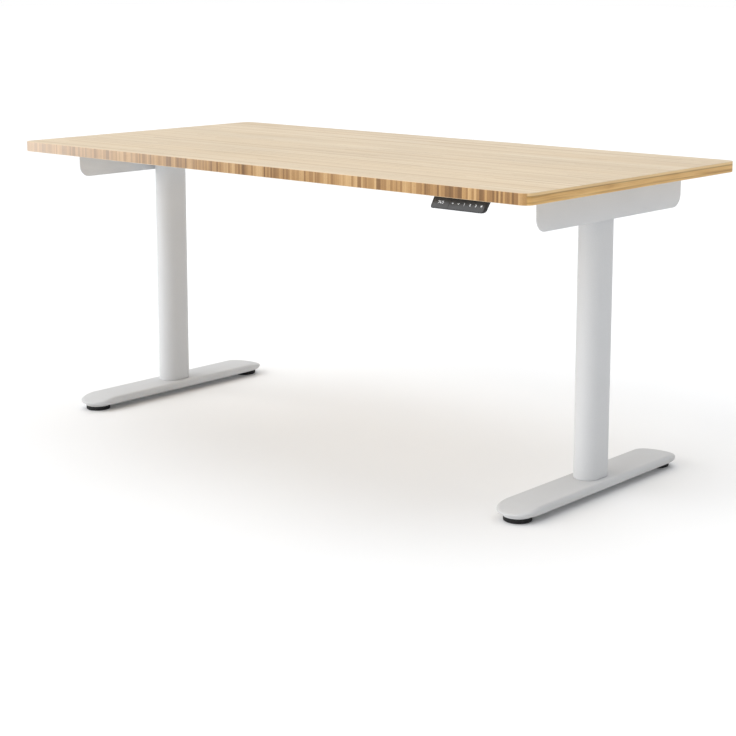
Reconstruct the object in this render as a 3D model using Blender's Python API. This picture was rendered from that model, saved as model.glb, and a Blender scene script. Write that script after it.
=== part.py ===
"""Height adjustable standing desk: a bamboo top on two motorised two-stage columns with T feet.

Metres, +Z up. +X is the user's right, -Y is the user's side. The origin is on the floor, midway
between the feet. The desk is modelled with both columns fully lowered.
"""

from math import atan2, cos, pi, sin, sqrt

import bmesh
import bpy
from mathutils import Vector

# ---------------------------------------------------------------- driving dimensions

GAP = 0.0003                  # clearance between pieces that touch

# Desktop
TOP_WIDTH = 1.600
TOP_DEPTH = 0.800
TOP_THICKNESS = 0.025
TOP_HEIGHT = 0.711            # floor to the writing surface, fully lowered
TOP_CORNER_RADIUS = 0.022
TOP_EDGE_RADIUS = 0.0015
UNDERSIDE = TOP_HEIGHT - TOP_THICKNESS
HUNG = UNDERSIDE - GAP        # top face of whatever is screwed under the desktop

# Columns
COLUMN_X = 0.690
OUTER_TUBE = (0.0605, 0.0880)         # across X, along Y
OUTER_WALL = 0.0020
INNER_TUBE = (0.0530, 0.0805)
INNER_WALL = 0.0018
OUTER_TUBE_TOP = 0.6300
HEAD_FLOOR = 0.6360                   # underside of the drive housing on the inner tube
INNER_TUBE_BOTTOM = 0.0480
SLIDE_BUSH_LENGTH = 0.0580
COLLAR_SKIRT = 0.0130
COLLAR_FLANGE = 0.0037

# T feet
FOOT_LENGTH = 0.622
FOOT_WIDTH = 0.095
FOOT_TOP = 0.0340
FOOT_UNDERSIDE = 0.0130
FOOT_WAIST = 0.0215                   # height of the widest line round the foot
FOOT_UPPER_ROUND = 0.0150             # how far the flanks lean in above the widest line
FOOT_LOWER_ROUND = 0.0095
FOOT_END_Y = (FOOT_LENGTH - FOOT_WIDTH) / 2
FOOT_DOME_Y = 0.250                   # where the top starts to fall towards the ends
FOOT_DOME_DROP = 0.0100
FOOT_RIM_RISE = 0.0035                # how far the underside rises towards the ends
FOOT_CAVITY = (0.066, 0.430)
FOOT_CAVITY_ROOF = 0.0285
FOOT_BOSS_TOP = 0.0205

# Levelling glides
GLIDE_Y = 0.268
GLIDE_RADIUS = 0.031
GLIDE_HEIGHT = 0.0105
GLIDE_BOSS_RADIUS = 0.033
GLIDE_EASE = 0.0014
GLIDE_BORE_FLOOR = 0.0045
STUD_RADIUS = 0.0038
STUD_TOP = 0.0270

# Spindle drive
SPINDLE_RADIUS = 0.0070
SPINDLE_BOTTOM = 0.0600
SPINDLE_TOP = 0.6700
SPINDLE_JOURNAL_RADIUS = 0.0050
SPINDLE_SHOULDER = 0.6495
NUT_RADIUS = 0.0165
NUT_BOTTOM = 0.5865
NUT_TOP = 0.6160
NUT_NECK = 0.0040                     # step in from the nut's flange to its neck
PUSH_TUBE_RADIUS = 0.0140
PUSH_TUBE_WALL = 0.0020
COLUMN_PLATE_THICKNESS = 0.0100
WHEEL_RADIUS = 0.0185
WHEEL_HEIGHT = 0.0120
WHEEL_HUB_RADIUS = 0.0100
WORM_Z = 0.6590
WORM_RADIUS = 0.0060
WORM_LENGTH = 0.0320
WORM_SHAFT_RADIUS = 0.0030
WORM_INBOARD = WHEEL_RADIUS + WORM_RADIUS + 0.0005
CASE_OUTBOARD = 0.0225
CASE_INBOARD = 0.0360
CASE_HALF_Y = 0.0320
CASE_WALL = 0.0030
CASE_TOP = 0.6760
CASE_COVER = 0.0050
MOTOR_RADIUS = 0.0195
MOTOR_FRONT_Y = 0.0325
MOTOR_LENGTH = 0.0680
MOTOR_STEP = 0.0015                   # chamfers of the can, and the depth of its end cap's groove
MOTOR_CAP = 0.0110
WORM_SHAFT_REACH = 0.0330             # how far the worm's shaft goes into the motor

# Drive housings and frame
SHEET = 0.0025
HOUSING_OUTBOARD = 0.0392             # from the column axis to the outboard face
HOUSING_INBOARD = 0.0740
HOUSING_HALF_Y = 0.1050
HOUSING_TOP = 0.6825
HOUSING_CORNER = 0.0080
HOUSING_EASE = 0.0030
SPINDLE_HOLE_RADIUS = 0.0120
LEAD_HOLE_RADIUS = 0.0040
LEAD_HOLE_Y = 0.0500
BRACKET_X = 0.732
BRACKET_HALF_Y = 0.275
BRACKET_HEIGHT = 0.0735
BRACKET_FLANGE = 0.0320
BRACKET_BEND = 0.0030
BRACKET_CORNER = 0.030
BRACKET_SCREW_X = BRACKET_X - 0.0176  # middle of the flange
BRACKET_SCREW_Y = 0.240
RAIL_Y = 0.080
RAIL_SECTION = (0.025, 0.032)
RAIL_TOP = 0.6800
RAIL_WALL = 0.0020

# Control box
BOX_SIZE = (0.244, 0.086)
BOX_BOTTOM = 0.6475
BOX_CORNER = 0.008
BOX_EASE = 0.0030
BOX_WALL = 0.0025
BOX_PLATE = 0.0035
BOX_PLATE_MARGIN = 0.006
BOARD_SIZE = (0.190, 0.070)
BOARD_X = 0.014
BOARD_Z = 0.6700
BOARD_THICKNESS = 0.0016
BOARD_POST_INSET = 0.0060
INLET_Y = 0.012
INLET_Z = 0.6640
INLET_FLANGE = (0.031, 0.025)
INLET_RECESS = (0.0250, 0.0175)
INLET_DEPTH = 0.0180
INLET_PROUD = 0.0020
INLET_PIN = (0.0140, 0.0020, 0.0040)

# Handset
HANDSET_X = 0.6195
HANDSET_WIDTH = 0.139
HANDSET_TOP_Y = -0.3800
HANDSET_BOTTOM_Y = -0.3950
HANDSET_BOTTOM = 0.6610
HANDSET_DEPTH = (0.0090, 0.0130)      # front to back, at the bottom and at the top
HANDSET_PLATE_BACK_Y = -0.3350
HANDSET_PLATE = 0.0026
HANDSET_PLATE_TAPER = 0.110           # share of its width that the plate loses towards the back
HANDSET_CORNER = 0.0055
HANDSET_EDGE = 0.0028
HANDSET_RIB = (0.0020, 0.0180, 0.0130)
HANDSET_RIB_X = 0.0450
HANDSET_SCREW_X = 0.0278
HANDSET_SCREW_Y = -0.3460
PANEL_SIZE = (0.1320, 0.0262)
PANEL_CORNER = 0.0036
PANEL_SPLIT = 0.320                   # share of the panel's width that the display takes
PANEL_THICKNESS = 0.0014
PANEL_SEAM = 0.0004

# Leads
LEAD_RADIUS = 0.0022
HANDSET_LEAD_RADIUS = 0.0016
HANDSET_LEAD_X = 0.5860               # where the handset's lead leaves its back
HANDSET_LEAD_Z = 0.6745

CURVE_STEPS = 10                      # segments in a quarter circle of the larger outlines


# ---------------------------------------------------------------- scene and materials

def clear_scene():
    """Removes whatever the file opened with."""
    for obj in list(bpy.data.objects):
        bpy.data.objects.remove(obj, do_unlink=True)


def material(name, colour, roughness, metallic=0.0):
    """A Principled material of one plain colour."""
    made = bpy.data.materials.new(name)
    made.use_nodes = True
    shader = made.node_tree.nodes["Principled BSDF"]
    shader.inputs["Base Color"].default_value = (*colour, 1.0)
    shader.inputs["Roughness"].default_value = roughness
    shader.inputs["Metallic"].default_value = metallic
    made.diffuse_color = (*colour, 1.0)
    return made


# ---------------------------------------------------------------- outlines and meshes

def arc(centre, radius, start, end, steps):
    """Points of an arc in a plane, from angle start to angle end in radians."""
    turns = [start + (end - start) * i / steps for i in range(steps + 1)]
    return [(centre[0] + radius * cos(a), centre[1] + radius * sin(a)) for a in turns]


def rounded_rectangle(width, depth, radius, steps=4, inset=0.0):
    """A rectangle with round corners, counter-clockwise, drawn in by inset."""
    half_x, half_y = width / 2 - inset, depth / 2 - inset
    radius = max(radius - inset, 0.0002)
    corners = ((1, -1, -pi / 2), (1, 1, 0.0), (-1, 1, pi / 2), (-1, -1, pi))
    points = []
    for sx, sy, start in corners:
        centre = (sx * (half_x - radius), sy * (half_y - radius))
        points += arc(centre, radius, start, start + pi / 2, steps)
    return points


def obround(width, length, steps=CURVE_STEPS, inset=0.0):
    """A slot shape, width across X and length along Y, with half-round ends."""
    radius = width / 2 - inset
    centre = (length - width) / 2
    return arc((0.0, centre), radius, 0.0, pi, 2 * steps) + arc(
        (0.0, -centre), radius, pi, 2 * pi, 2 * steps
    )


def circle(radius, steps=32, centre=(0.0, 0.0)):
    """A round outline."""
    return arc(centre, radius, 0.0, 2 * pi, steps)[:-1]


def level(outline, z):
    """An outline as 3-D points at one height."""
    return [(x, y, z) for x, y in outline]


def loft(loops, caps=True, wrap=False):
    """A bmesh through loops of equal length; wrap joins the last loop to the first instead."""
    shell = bmesh.new()
    rings = [[shell.verts.new(point) for point in loop] for loop in loops]
    pairs = list(zip(rings, rings[1:] + rings[:1] if wrap else rings[1:]))
    for low, high in pairs:
        for i, corner in enumerate(low):
            j = (i + 1) % len(low)
            shell.faces.new((corner, low[j], high[j], high[i]))
    if caps and not wrap:
        shell.faces.new(list(reversed(rings[0])))
        shell.faces.new(rings[-1])
    bmesh.ops.recalc_face_normals(shell, faces=shell.faces)
    return shell


def prism(outline, low, high):
    """A straight solid between two heights."""
    return loft([level(outline, low), level(outline, high)])


def hollow(outer, inner, low, high):
    """A straight tube, open at both ends, between two outlines."""
    return loft([level(outer, low), level(outer, high), level(inner, high), level(inner, low)],
                wrap=True)


def eased_slab(outline, low, high, ease, steps=2):
    """A slab whose upper and lower edges are rounded; outline is a function of the inset."""
    loops = []
    for centre, start in ((low + ease, -pi / 2), (high - ease, 0.0)):
        for i in range(steps + 1):
            angle = start + pi / 2 * i / steps
            loops.append(level(outline(ease * (1 - cos(angle))), centre + ease * sin(angle)))
    return loft(loops)


def turned(profile, steps=32):
    """A solid of revolution about Z from (radius, z) points; closed points on the axis close it."""
    shell = bmesh.new()
    verts = [shell.verts.new((radius, 0.0, z)) for radius, z in profile]
    edges = [shell.edges.new(pair) for pair in zip(verts, verts[1:])]
    if profile[0][0] > 0.0:
        edges.append(shell.edges.new((verts[-1], verts[0])))
    bmesh.ops.spin(shell, geom=verts + edges, cent=(0, 0, 0), axis=(0, 0, 1), angle=2 * pi,
                   steps=steps, use_merge=True, use_duplicate=False)
    bmesh.ops.remove_doubles(shell, verts=shell.verts, dist=1e-6)
    bmesh.ops.recalc_face_normals(shell, faces=shell.faces)
    return shell


def block(size, centre=(0.0, 0.0, 0.0)):
    """A plain box."""
    shell = bmesh.new()
    bmesh.ops.create_cube(shell, size=1.0)
    bmesh.ops.scale(shell, vec=size, verts=shell.verts)
    bmesh.ops.translate(shell, vec=centre, verts=shell.verts)
    return shell


# ---------------------------------------------------------------- objects

def body(name, location, parent=None):
    """An empty that carries the pieces which move together, placed on their joint's axis."""
    empty = bpy.data.objects.new(name, None)
    empty.empty_display_size = 0.05
    empty.location = location
    empty.parent = parent
    bpy.context.scene.collection.objects.link(empty)
    return empty


def piece(name, shell, finish, parent, location=(0.0, 0.0, 0.0), rotation=(0.0, 0.0, 0.0)):
    """A named solid made from a bmesh, shaded smooth except across its sharp edges."""
    mesh = bpy.data.meshes.new(name)
    shell.to_mesh(mesh)
    shell.free()
    mesh.materials.append(finish)
    mesh.shade_smooth()
    mesh.set_sharp_from_angle(angle=0.6)
    made = bpy.data.objects.new(name, mesh)
    made.location = location
    made.rotation_euler = rotation
    made.parent = parent
    bpy.context.scene.collection.objects.link(made)
    return made


def helper(name, shell, parent, location=(0.0, 0.0, 0.0), rotation=(0.0, 0.0, 0.0)):
    """A hidden solid for a Boolean."""
    made = piece(name, shell, FINISHES["helper"], parent, location, rotation)
    made.hide_render = True
    made.display_type = "WIRE"
    return made


def boolean(target, other, operation):
    """Adds a Boolean modifier to target."""
    step = target.modifiers.new(f"{operation.lower()} {other.name}", "BOOLEAN")
    step.operation = operation
    step.object = other
    step.solver = "EXACT"


def cut(target, shell, location=(0.0, 0.0, 0.0), rotation=(0.0, 0.0, 0.0)):
    """Takes a solid away from target, placed in target's own parent."""
    name = f"{target.name}_cut_{len(target.modifiers)}"
    boolean(target, helper(name, shell, target.parent, location, rotation), "DIFFERENCE")


def join(target, shell, location=(0.0, 0.0, 0.0)):
    """Adds a solid to target, placed in target's own parent."""
    name = f"{target.name}_add_{len(target.modifiers)}"
    boolean(target, helper(name, shell, target.parent, location), "UNION")


# ---------------------------------------------------------------- desktop

def build_desktop(carriage_origin, carriage):
    """The bamboo panel, with pilot holes for the screws that hold it."""
    def outline(inset):
        return rounded_rectangle(TOP_WIDTH, TOP_DEPTH, TOP_CORNER_RADIUS, 6, inset)

    centre = -carriage_origin
    desktop = piece("desktop", eased_slab(outline, UNDERSIDE, TOP_HEIGHT, TOP_EDGE_RADIUS),
                    FINISHES["bamboo"], carriage, centre)
    for x, y, radius in desktop_screw_points():
        cut(desktop, prism(circle(radius, 12), -0.012, 0.013),
            centre + Vector((x, y, UNDERSIDE)))


def desktop_screw_points():
    """Where screws enter the desktop, with the radius of each pilot hole."""
    points = []
    for side in (-1, 1):
        for y in (-BRACKET_SCREW_Y, BRACKET_SCREW_Y):
            points.append((side * BRACKET_SCREW_X, y, 0.0025))
        points.append((HANDSET_X + side * HANDSET_SCREW_X, HANDSET_SCREW_Y, 0.0020))
    return points


def wood_screw(shank, head, grip):
    """A pan head screw pointing up, its head's upper face at z 0."""
    dome = [(0.0, -0.0030), (head * 0.45, -0.0028), (head * 0.85, -0.0018), (head, -0.0006)]
    return turned(dome + [(head, 0.0), (shank, 0.0), (shank, grip), (0.0, grip + shank)], 16)


# ---------------------------------------------------------------- T foot and glides

def foot_loop(inset, z, steps=CURVE_STEPS):
    """One loop round the foot, with its height following the domed ends."""
    radius = FOOT_WIDTH / 2 - inset
    straights = [FOOT_END_Y - 0.009, FOOT_DOME_Y]
    right = [(radius, -y) for y in straights] + [(radius, y) for y in reversed(straights)]
    far = arc((0.0, FOOT_END_Y), radius, 0.0, pi, 2 * steps)
    near = arc((0.0, -FOOT_END_Y), radius, pi, 2 * pi, 2 * steps)
    left = [(-x, -y) for x, y in right]
    return [(x, y, foot_height(y, z)) for x, y in right + far + left + near]


def foot_height(y, z):
    """The height z of the foot's middle section, drawn in towards the ends."""
    share = max(0.0, (abs(y) - FOOT_DOME_Y) / (FOOT_LENGTH / 2 - FOOT_DOME_Y))
    if z > FOOT_WAIST:
        return z - FOOT_DOME_DROP * share**1.6 * (z - FOOT_WAIST) / (FOOT_TOP - FOOT_WAIST)
    return z + FOOT_RIM_RISE * share * (FOOT_WAIST - z) / (FOOT_WAIST - FOOT_UNDERSIDE)


def foot_shell():
    """The foot's outer skin, with rounded flanks and domed ends, closed above and below."""
    top, under = FOOT_TOP - FOOT_WAIST, FOOT_WAIST - FOOT_UNDERSIDE
    loops = [foot_loop(FOOT_LOWER_ROUND + 0.0015, FOOT_UNDERSIDE)]
    for i in range(1, 4):
        angle = pi / 2 * i / 4
        loops.append(foot_loop(FOOT_LOWER_ROUND * (1 - sin(angle)), FOOT_WAIST - under * cos(angle)))
    for i in range(7):
        angle = pi / 2 * i / 6
        loops.append(foot_loop(FOOT_UPPER_ROUND * (1 - cos(angle)), FOOT_WAIST + top * sin(angle)))
    shell = loft(loops, caps=False)
    shell.verts.ensure_lookup_table()
    count = len(loops[0])
    for first in (0, count * (len(loops) - 1)):
        close_across(shell, shell.verts[first:first + count])
    bmesh.ops.recalc_face_normals(shell, faces=shell.faces)
    return shell


def close_across(shell, ring):
    """Closes a ring that is symmetric in X with strips from side to side, so that it can bend in Y."""
    count = len(ring)
    opposite = [min(range(count), key=lambda k: abs(ring[k].co.x + vert.co.x)
                    + abs(ring[k].co.y - vert.co.y)) for vert in ring]
    for i in range(count):
        j = (i + 1) % count
        if ring[i].co.x > -1e-6 and ring[j].co.x > -1e-6:
            strip = (ring[i], ring[j], ring[opposite[j]], ring[opposite[i]])
            shell.faces.new(list(dict.fromkeys(strip)))


def build_foot(side, base):
    """One T foot: a cast beam, hollow underneath, with a boss over each glide."""
    foot = piece(f"{side}_foot", foot_shell(), FINISHES["powder_coat"], base)
    cut(foot, prism(obround(*FOOT_CAVITY, 6), 0.0, FOOT_CAVITY_ROOF))
    for y in (-GLIDE_Y, GLIDE_Y):
        join(foot, prism(circle(GLIDE_BOSS_RADIUS, 40), GLIDE_HEIGHT + GAP, FOOT_BOSS_TOP),
             (0.0, y, 0.0))
        cut(foot, prism(circle(STUD_RADIUS + 0.0005, 16), 0.0, STUD_TOP + 0.0010),
            (0.0, y, 0.0))


def build_glide(side, end, base, y):
    """A levelling glide: a rubber pad that travels with a threaded stud turning in it."""
    place = f"{end}_{side}"
    pad_body = body(f"{place}_glide", (0.0, y, 0.0), parent=base)
    radius, ease, bore = GLIDE_RADIUS, GLIDE_EASE, STUD_RADIUS + 0.0006
    pad = turned([(0.0, 0.0), (radius - ease, 0.0), (radius - 0.3 * ease, 0.3 * ease),
                  (radius, ease), (radius, GLIDE_HEIGHT - ease),
                  (radius - 0.3 * ease, GLIDE_HEIGHT - 0.3 * ease), (radius - ease, GLIDE_HEIGHT),
                  (bore, GLIDE_HEIGHT), (bore, GLIDE_BORE_FLOOR), (0.0, GLIDE_BORE_FLOOR)])
    piece(f"{place}_glide_pad", pad, FINISHES["rubber"], pad_body)
    foot_of_stud, tip = GLIDE_BORE_FLOOR + GAP, 0.0008
    stud = turned([(0.0, foot_of_stud), (STUD_RADIUS, foot_of_stud), (STUD_RADIUS, STUD_TOP - tip),
                   (STUD_RADIUS - tip, STUD_TOP), (0.0, STUD_TOP)], 16)
    stud_body = body(f"{place}_stud", (0.0, 0.0, 0.0), parent=pad_body)
    piece(f"{place}_glide_stud", stud, FINISHES["zinc"], stud_body)


# ---------------------------------------------------------------- column

def build_column_base(side, base):
    """The pieces that stand on the foot: plate, outer tube, collar, push tube and nut."""
    tube_bottom = FOOT_TOP + GAP
    inner_edge = OUTER_WALL + GAP
    plate_top = tube_bottom + GAP + COLUMN_PLATE_THICKNESS
    piece(f"{side}_column_plate",
          prism(obround(*OUTER_TUBE, 6, inset=inner_edge), tube_bottom + GAP, plate_top),
          FINISHES["zinc"], base)
    piece(f"{side}_outer_tube",
          hollow(obround(*OUTER_TUBE), obround(*OUTER_TUBE, inset=OUTER_WALL),
                 tube_bottom, OUTER_TUBE_TOP),
          FINISHES["powder_coat"], base)

    bore = obround(*INNER_TUBE, 7, inset=-GAP)
    skirt = obround(*OUTER_TUBE, 7, inset=inner_edge)
    seat = OUTER_TUBE_TOP + GAP
    rim = seat + COLLAR_FLANGE
    ease = 0.0008
    flange = obround(*OUTER_TUBE, 7)
    lip = obround(*OUTER_TUBE, 7, inset=ease)
    skirt_bottom = OUTER_TUBE_TOP - COLLAR_SKIRT
    piece(f"{side}_guide_collar",
          loft([level(bore, skirt_bottom), level(skirt, skirt_bottom), level(skirt, seat),
                level(flange, seat), level(flange, rim - ease), level(lip, rim), level(bore, rim)],
               wrap=True),
          FINISHES["grey_plastic"], base)

    push_bottom = plate_top + GAP
    push_inner = PUSH_TUBE_RADIUS - PUSH_TUBE_WALL
    piece(f"{side}_push_tube",
          hollow(circle(PUSH_TUBE_RADIUS, 24), circle(push_inner, 24), push_bottom,
                 NUT_BOTTOM - GAP),
          FINISHES["zinc"], base)
    bore, neck, ease = SPINDLE_RADIUS + 0.0004, NUT_RADIUS - NUT_NECK, 0.0010
    flange_top = NUT_TOP - 0.0120
    piece(f"{side}_lead_nut",
          turned([(bore, NUT_BOTTOM), (NUT_RADIUS, NUT_BOTTOM), (NUT_RADIUS, flange_top),
                  (neck, flange_top + ease), (neck, NUT_TOP - ease), (neck - ease, NUT_TOP),
                  (bore, NUT_TOP)], 24),
          FINISHES["white_plastic"], base)


def build_column_head(side, sign, carriage, offset):
    """The pieces that rise with the desktop on one side, from the inner tube to the motor."""
    inboard = -sign
    piece(f"{side}_inner_tube",
          hollow(obround(*INNER_TUBE), obround(*INNER_TUBE, inset=INNER_WALL),
                 INNER_TUBE_BOTTOM, HEAD_FLOOR - GAP),
          FINISHES["powder_coat"], carriage, offset)
    bush_outside = obround(*OUTER_TUBE, 6, inset=OUTER_WALL + GAP)
    piece(f"{side}_slide_bush",
          hollow(bush_outside, obround(*INNER_TUBE, 6, inset=-GAP),
                 INNER_TUBE_BOTTOM + 0.002, INNER_TUBE_BOTTOM + SLIDE_BUSH_LENGTH),
          FINISHES["white_plastic"], carriage, offset)
    build_drive_housing(side, inboard, carriage, offset)
    build_gearbox(side, inboard, carriage, offset)
    build_motor(side, inboard, carriage, offset)
    build_spindle(side, carriage, offset)
    build_side_bracket(side, sign, carriage, offset)


def build_drive_housing(side, inboard, carriage, offset):
    """The folded steel tray that carries the drive and joins the column to the frame."""
    width = HOUSING_OUTBOARD + HOUSING_INBOARD
    middle = inboard * (HOUSING_INBOARD - HOUSING_OUTBOARD) / 2
    length = 2 * HOUSING_HALF_Y

    def outline(inset):
        points = rounded_rectangle(width, length, HOUSING_CORNER, 4, inset)
        return [(x + middle, y) for x, y in points]

    ease = HOUSING_EASE
    floor = HEAD_FLOOR + SHEET
    shell = loft([level(outline(ease), HEAD_FLOOR),
                  level(outline(ease * 0.3), HEAD_FLOOR + ease * 0.3),
                  level(outline(0.0), HEAD_FLOOR + ease), level(outline(0.0), HOUSING_TOP),
                  level(outline(SHEET), HOUSING_TOP), level(outline(SHEET), floor + ease * 0.5),
                  level(outline(SHEET + ease * 0.5), floor)])
    tray = piece(f"{side}_drive_housing", shell, FINISHES["powder_coat"], carriage, offset)
    cut(tray, prism(circle(SPINDLE_HOLE_RADIUS, 24), HEAD_FLOOR - 0.005, floor + 0.002), offset)
    cut(tray, prism(circle(LEAD_HOLE_RADIUS, 16), -0.010, 0.010),
        offset + Vector((inboard * HOUSING_INBOARD, LEAD_HOLE_Y, WORM_Z)), (0.0, pi / 2, 0.0))


def build_gearbox(side, inboard, carriage, offset):
    """The worm gearbox: an open case and its cover."""
    width = CASE_OUTBOARD + CASE_INBOARD
    middle = inboard * (CASE_INBOARD - CASE_OUTBOARD) / 2
    floor = HEAD_FLOOR + SHEET + GAP

    def outline(inset):
        points = rounded_rectangle(width, 2 * CASE_HALF_Y, 0.006, 3, inset)
        return [(x + middle, y) for x, y in points]

    shell = loft([level(outline(0.0), floor), level(outline(0.0), CASE_TOP),
                  level(outline(CASE_WALL), CASE_TOP),
                  level(outline(CASE_WALL), floor + CASE_WALL)])
    case = piece(f"{side}_gearbox_case", shell, FINISHES["cast_alloy"], carriage, offset)
    cut(case, prism(circle(SPINDLE_RADIUS + 0.0010, 24), floor - 0.005, floor + 0.008), offset)
    cut(case, prism(circle(WORM_SHAFT_RADIUS + 0.0006, 16), -0.008, 0.008),
        offset + Vector((inboard * WORM_INBOARD, CASE_HALF_Y, WORM_Z)), (pi / 2, 0.0, 0.0))
    cover_low = CASE_TOP + GAP
    piece(f"{side}_gearbox_cover",
          eased_slab(outline, cover_low, cover_low + CASE_COVER, 0.0010, 1),
          FINISHES["cast_alloy"], carriage, offset)


def build_motor(side, inboard, carriage, offset):
    """The motor can with its worm, which turns about Y."""
    seat = offset + Vector((inboard * WORM_INBOARD, 0.0, WORM_Z))
    front, back, step = MOTOR_FRONT_Y, MOTOR_FRONT_Y + MOTOR_LENGTH, MOTOR_STEP
    shaft, radius = WORM_SHAFT_RADIUS, MOTOR_RADIUS
    bore, bore_end, groove = shaft + 0.0006, front + WORM_SHAFT_REACH + 0.0025, back - MOTOR_CAP
    can = turned([(bore, front), (radius - step, front), (radius, front + step),
                  (radius, groove - 0.0010), (radius - step, groove), (radius - step, back - step),
                  (radius - 2 * step, back), (0.0, back), (0.0, bore_end), (bore, bore_end)], 24)
    turned_to_y(can)
    piece(f"{side}_motor", can, FINISHES["black_paint"], carriage, seat)

    spin = body(f"{side}_worm_axis", seat, parent=carriage)
    low, high, tail, tip = -WORM_LENGTH / 2, WORM_LENGTH / 2 - 0.004, 0.010, front + WORM_SHAFT_REACH
    worm = turned([(0.0, low - tail), (shaft, low - tail), (shaft, low), (WORM_RADIUS, low),
                   (WORM_RADIUS, high), (shaft, high), (shaft, tip), (0.0, tip)], 20)
    turned_to_y(worm)
    piece(f"{side}_motor_worm", worm, FINISHES["steel"], spin)


def turned_to_y(shell):
    """Lays a solid turned about Z along +Y."""
    for vert in shell.verts:
        vert.co = Vector((vert.co.x, vert.co.z, -vert.co.y))


def build_spindle(side, carriage, offset):
    """The lead screw and the worm wheel on its journal, which turn about the column's axis."""
    spin = body(f"{side}_spindle_axis", offset, parent=carriage)
    radius, journal, chamfer = SPINDLE_RADIUS, SPINDLE_JOURNAL_RADIUS, 0.0015
    piece(f"{side}_lead_screw",
          turned([(0.0, SPINDLE_BOTTOM), (radius - chamfer, SPINDLE_BOTTOM),
                  (radius, SPINDLE_BOTTOM + chamfer), (radius, SPINDLE_SHOULDER),
                  (journal, SPINDLE_SHOULDER), (journal, SPINDLE_TOP), (0.0, SPINDLE_TOP)], 24),
          FINISHES["steel"], spin)
    low, high = WORM_Z - WHEEL_HEIGHT / 2, WORM_Z + WHEEL_HEIGHT / 2
    hub_low, hub_high, hub = low - 0.002, high + 0.003, WHEEL_HUB_RADIUS
    rim, bore, ease = WHEEL_RADIUS, journal + GAP, 0.0010
    piece(f"{side}_worm_wheel",
          turned([(bore, hub_low), (hub, hub_low), (hub, low), (rim - ease, low), (rim, low + ease),
                  (rim, high - ease), (rim - ease, high), (hub, high), (hub, hub_high),
                  (bore, hub_high)], 24),
          FINISHES["white_plastic"], spin)


def bracket_surface(sign):
    """The bracket's outer surface: a flange under the desktop, a bend and a hanging plate."""
    outer, bend = BRACKET_X - COLUMN_X, BRACKET_BEND
    section = [(sign * (outer - BRACKET_FLANGE), HUNG)]
    section += [(sign * x, z) for x, z in arc((outer - bend, HUNG - bend), bend, pi / 2, 0.0, 4)]
    shell = bmesh.new()
    rows = [[shell.verts.new((x, y, z)) for x, z in section]
            for y in (-BRACKET_HALF_Y, BRACKET_HALF_Y)]
    for i in range(len(section) - 1):
        shell.faces.new((rows[0][i], rows[0][i + 1], rows[1][i + 1], rows[1][i]))
    radius, reach, bottom = BRACKET_CORNER, BRACKET_HALF_Y, UNDERSIDE - BRACKET_HEIGHT
    lower = arc((reach - radius, bottom + radius), radius, 0.0, -pi / 2, 8)
    lower += arc((-reach + radius, bottom + radius), radius, -pi / 2, -pi, 8)
    plate = [rows[1][-1]] + [shell.verts.new((sign * outer, y, z)) for y, z in lower]
    shell.faces.new(plate + [rows[0][-1]])
    bmesh.ops.recalc_face_normals(shell, faces=shell.faces)
    if shell.faces[:][0].normal.z < 0.0:
        bmesh.ops.reverse_faces(shell, faces=shell.faces)
    return shell


def build_side_bracket(side, sign, carriage, offset):
    """The bent sheet under the desktop's end, its lower corners rounded, and its two screws."""
    bracket = piece(f"{side}_side_bracket", bracket_surface(sign), FINISHES["powder_coat"],
                    carriage, offset)
    thicken = bracket.modifiers.new("sheet", "SOLIDIFY")
    thicken.thickness = SHEET
    thicken.offset = -1.0
    thicken.use_even_offset = True
    soften = bracket.modifiers.new("edges", "BEVEL")
    soften.width = 0.0005
    soften.segments = 1
    soften.limit_method = "ANGLE"
    soften.angle_limit = 1.0
    screw_x = sign * (BRACKET_SCREW_X - COLUMN_X)
    for end, y in (("front", -BRACKET_SCREW_Y), ("rear", BRACKET_SCREW_Y)):
        cut(bracket, prism(circle(0.0028, 12), -0.006, 0.006), offset + Vector((screw_x, y, HUNG)))
        piece(f"{end}_{side}_top_screw", wood_screw(0.0021, 0.0045, 0.0130), FINISHES["zinc"],
              carriage, offset + Vector((screw_x, y, HUNG - SHEET - GAP)))


# ---------------------------------------------------------------- frame rails

def build_rails(carriage_origin, carriage):
    """Two rectangular tubes that tie the drive housings together."""
    half = COLUMN_X - HOUSING_INBOARD - GAP
    depth, height = RAIL_SECTION
    for end, y in (("front", -RAIL_Y), ("rear", RAIL_Y)):
        outer = rounded_rectangle(height, depth, 0.003, 3)
        inner = rounded_rectangle(height, depth, 0.003, 3, inset=RAIL_WALL)
        centre = Vector((0.0, y, RAIL_TOP - height / 2)) - carriage_origin
        piece(f"{end}_rail", hollow(outer, inner, -half, half), FINISHES["powder_coat"],
              carriage, centre, (0.0, pi / 2, 0.0))


# ---------------------------------------------------------------- control box

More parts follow.
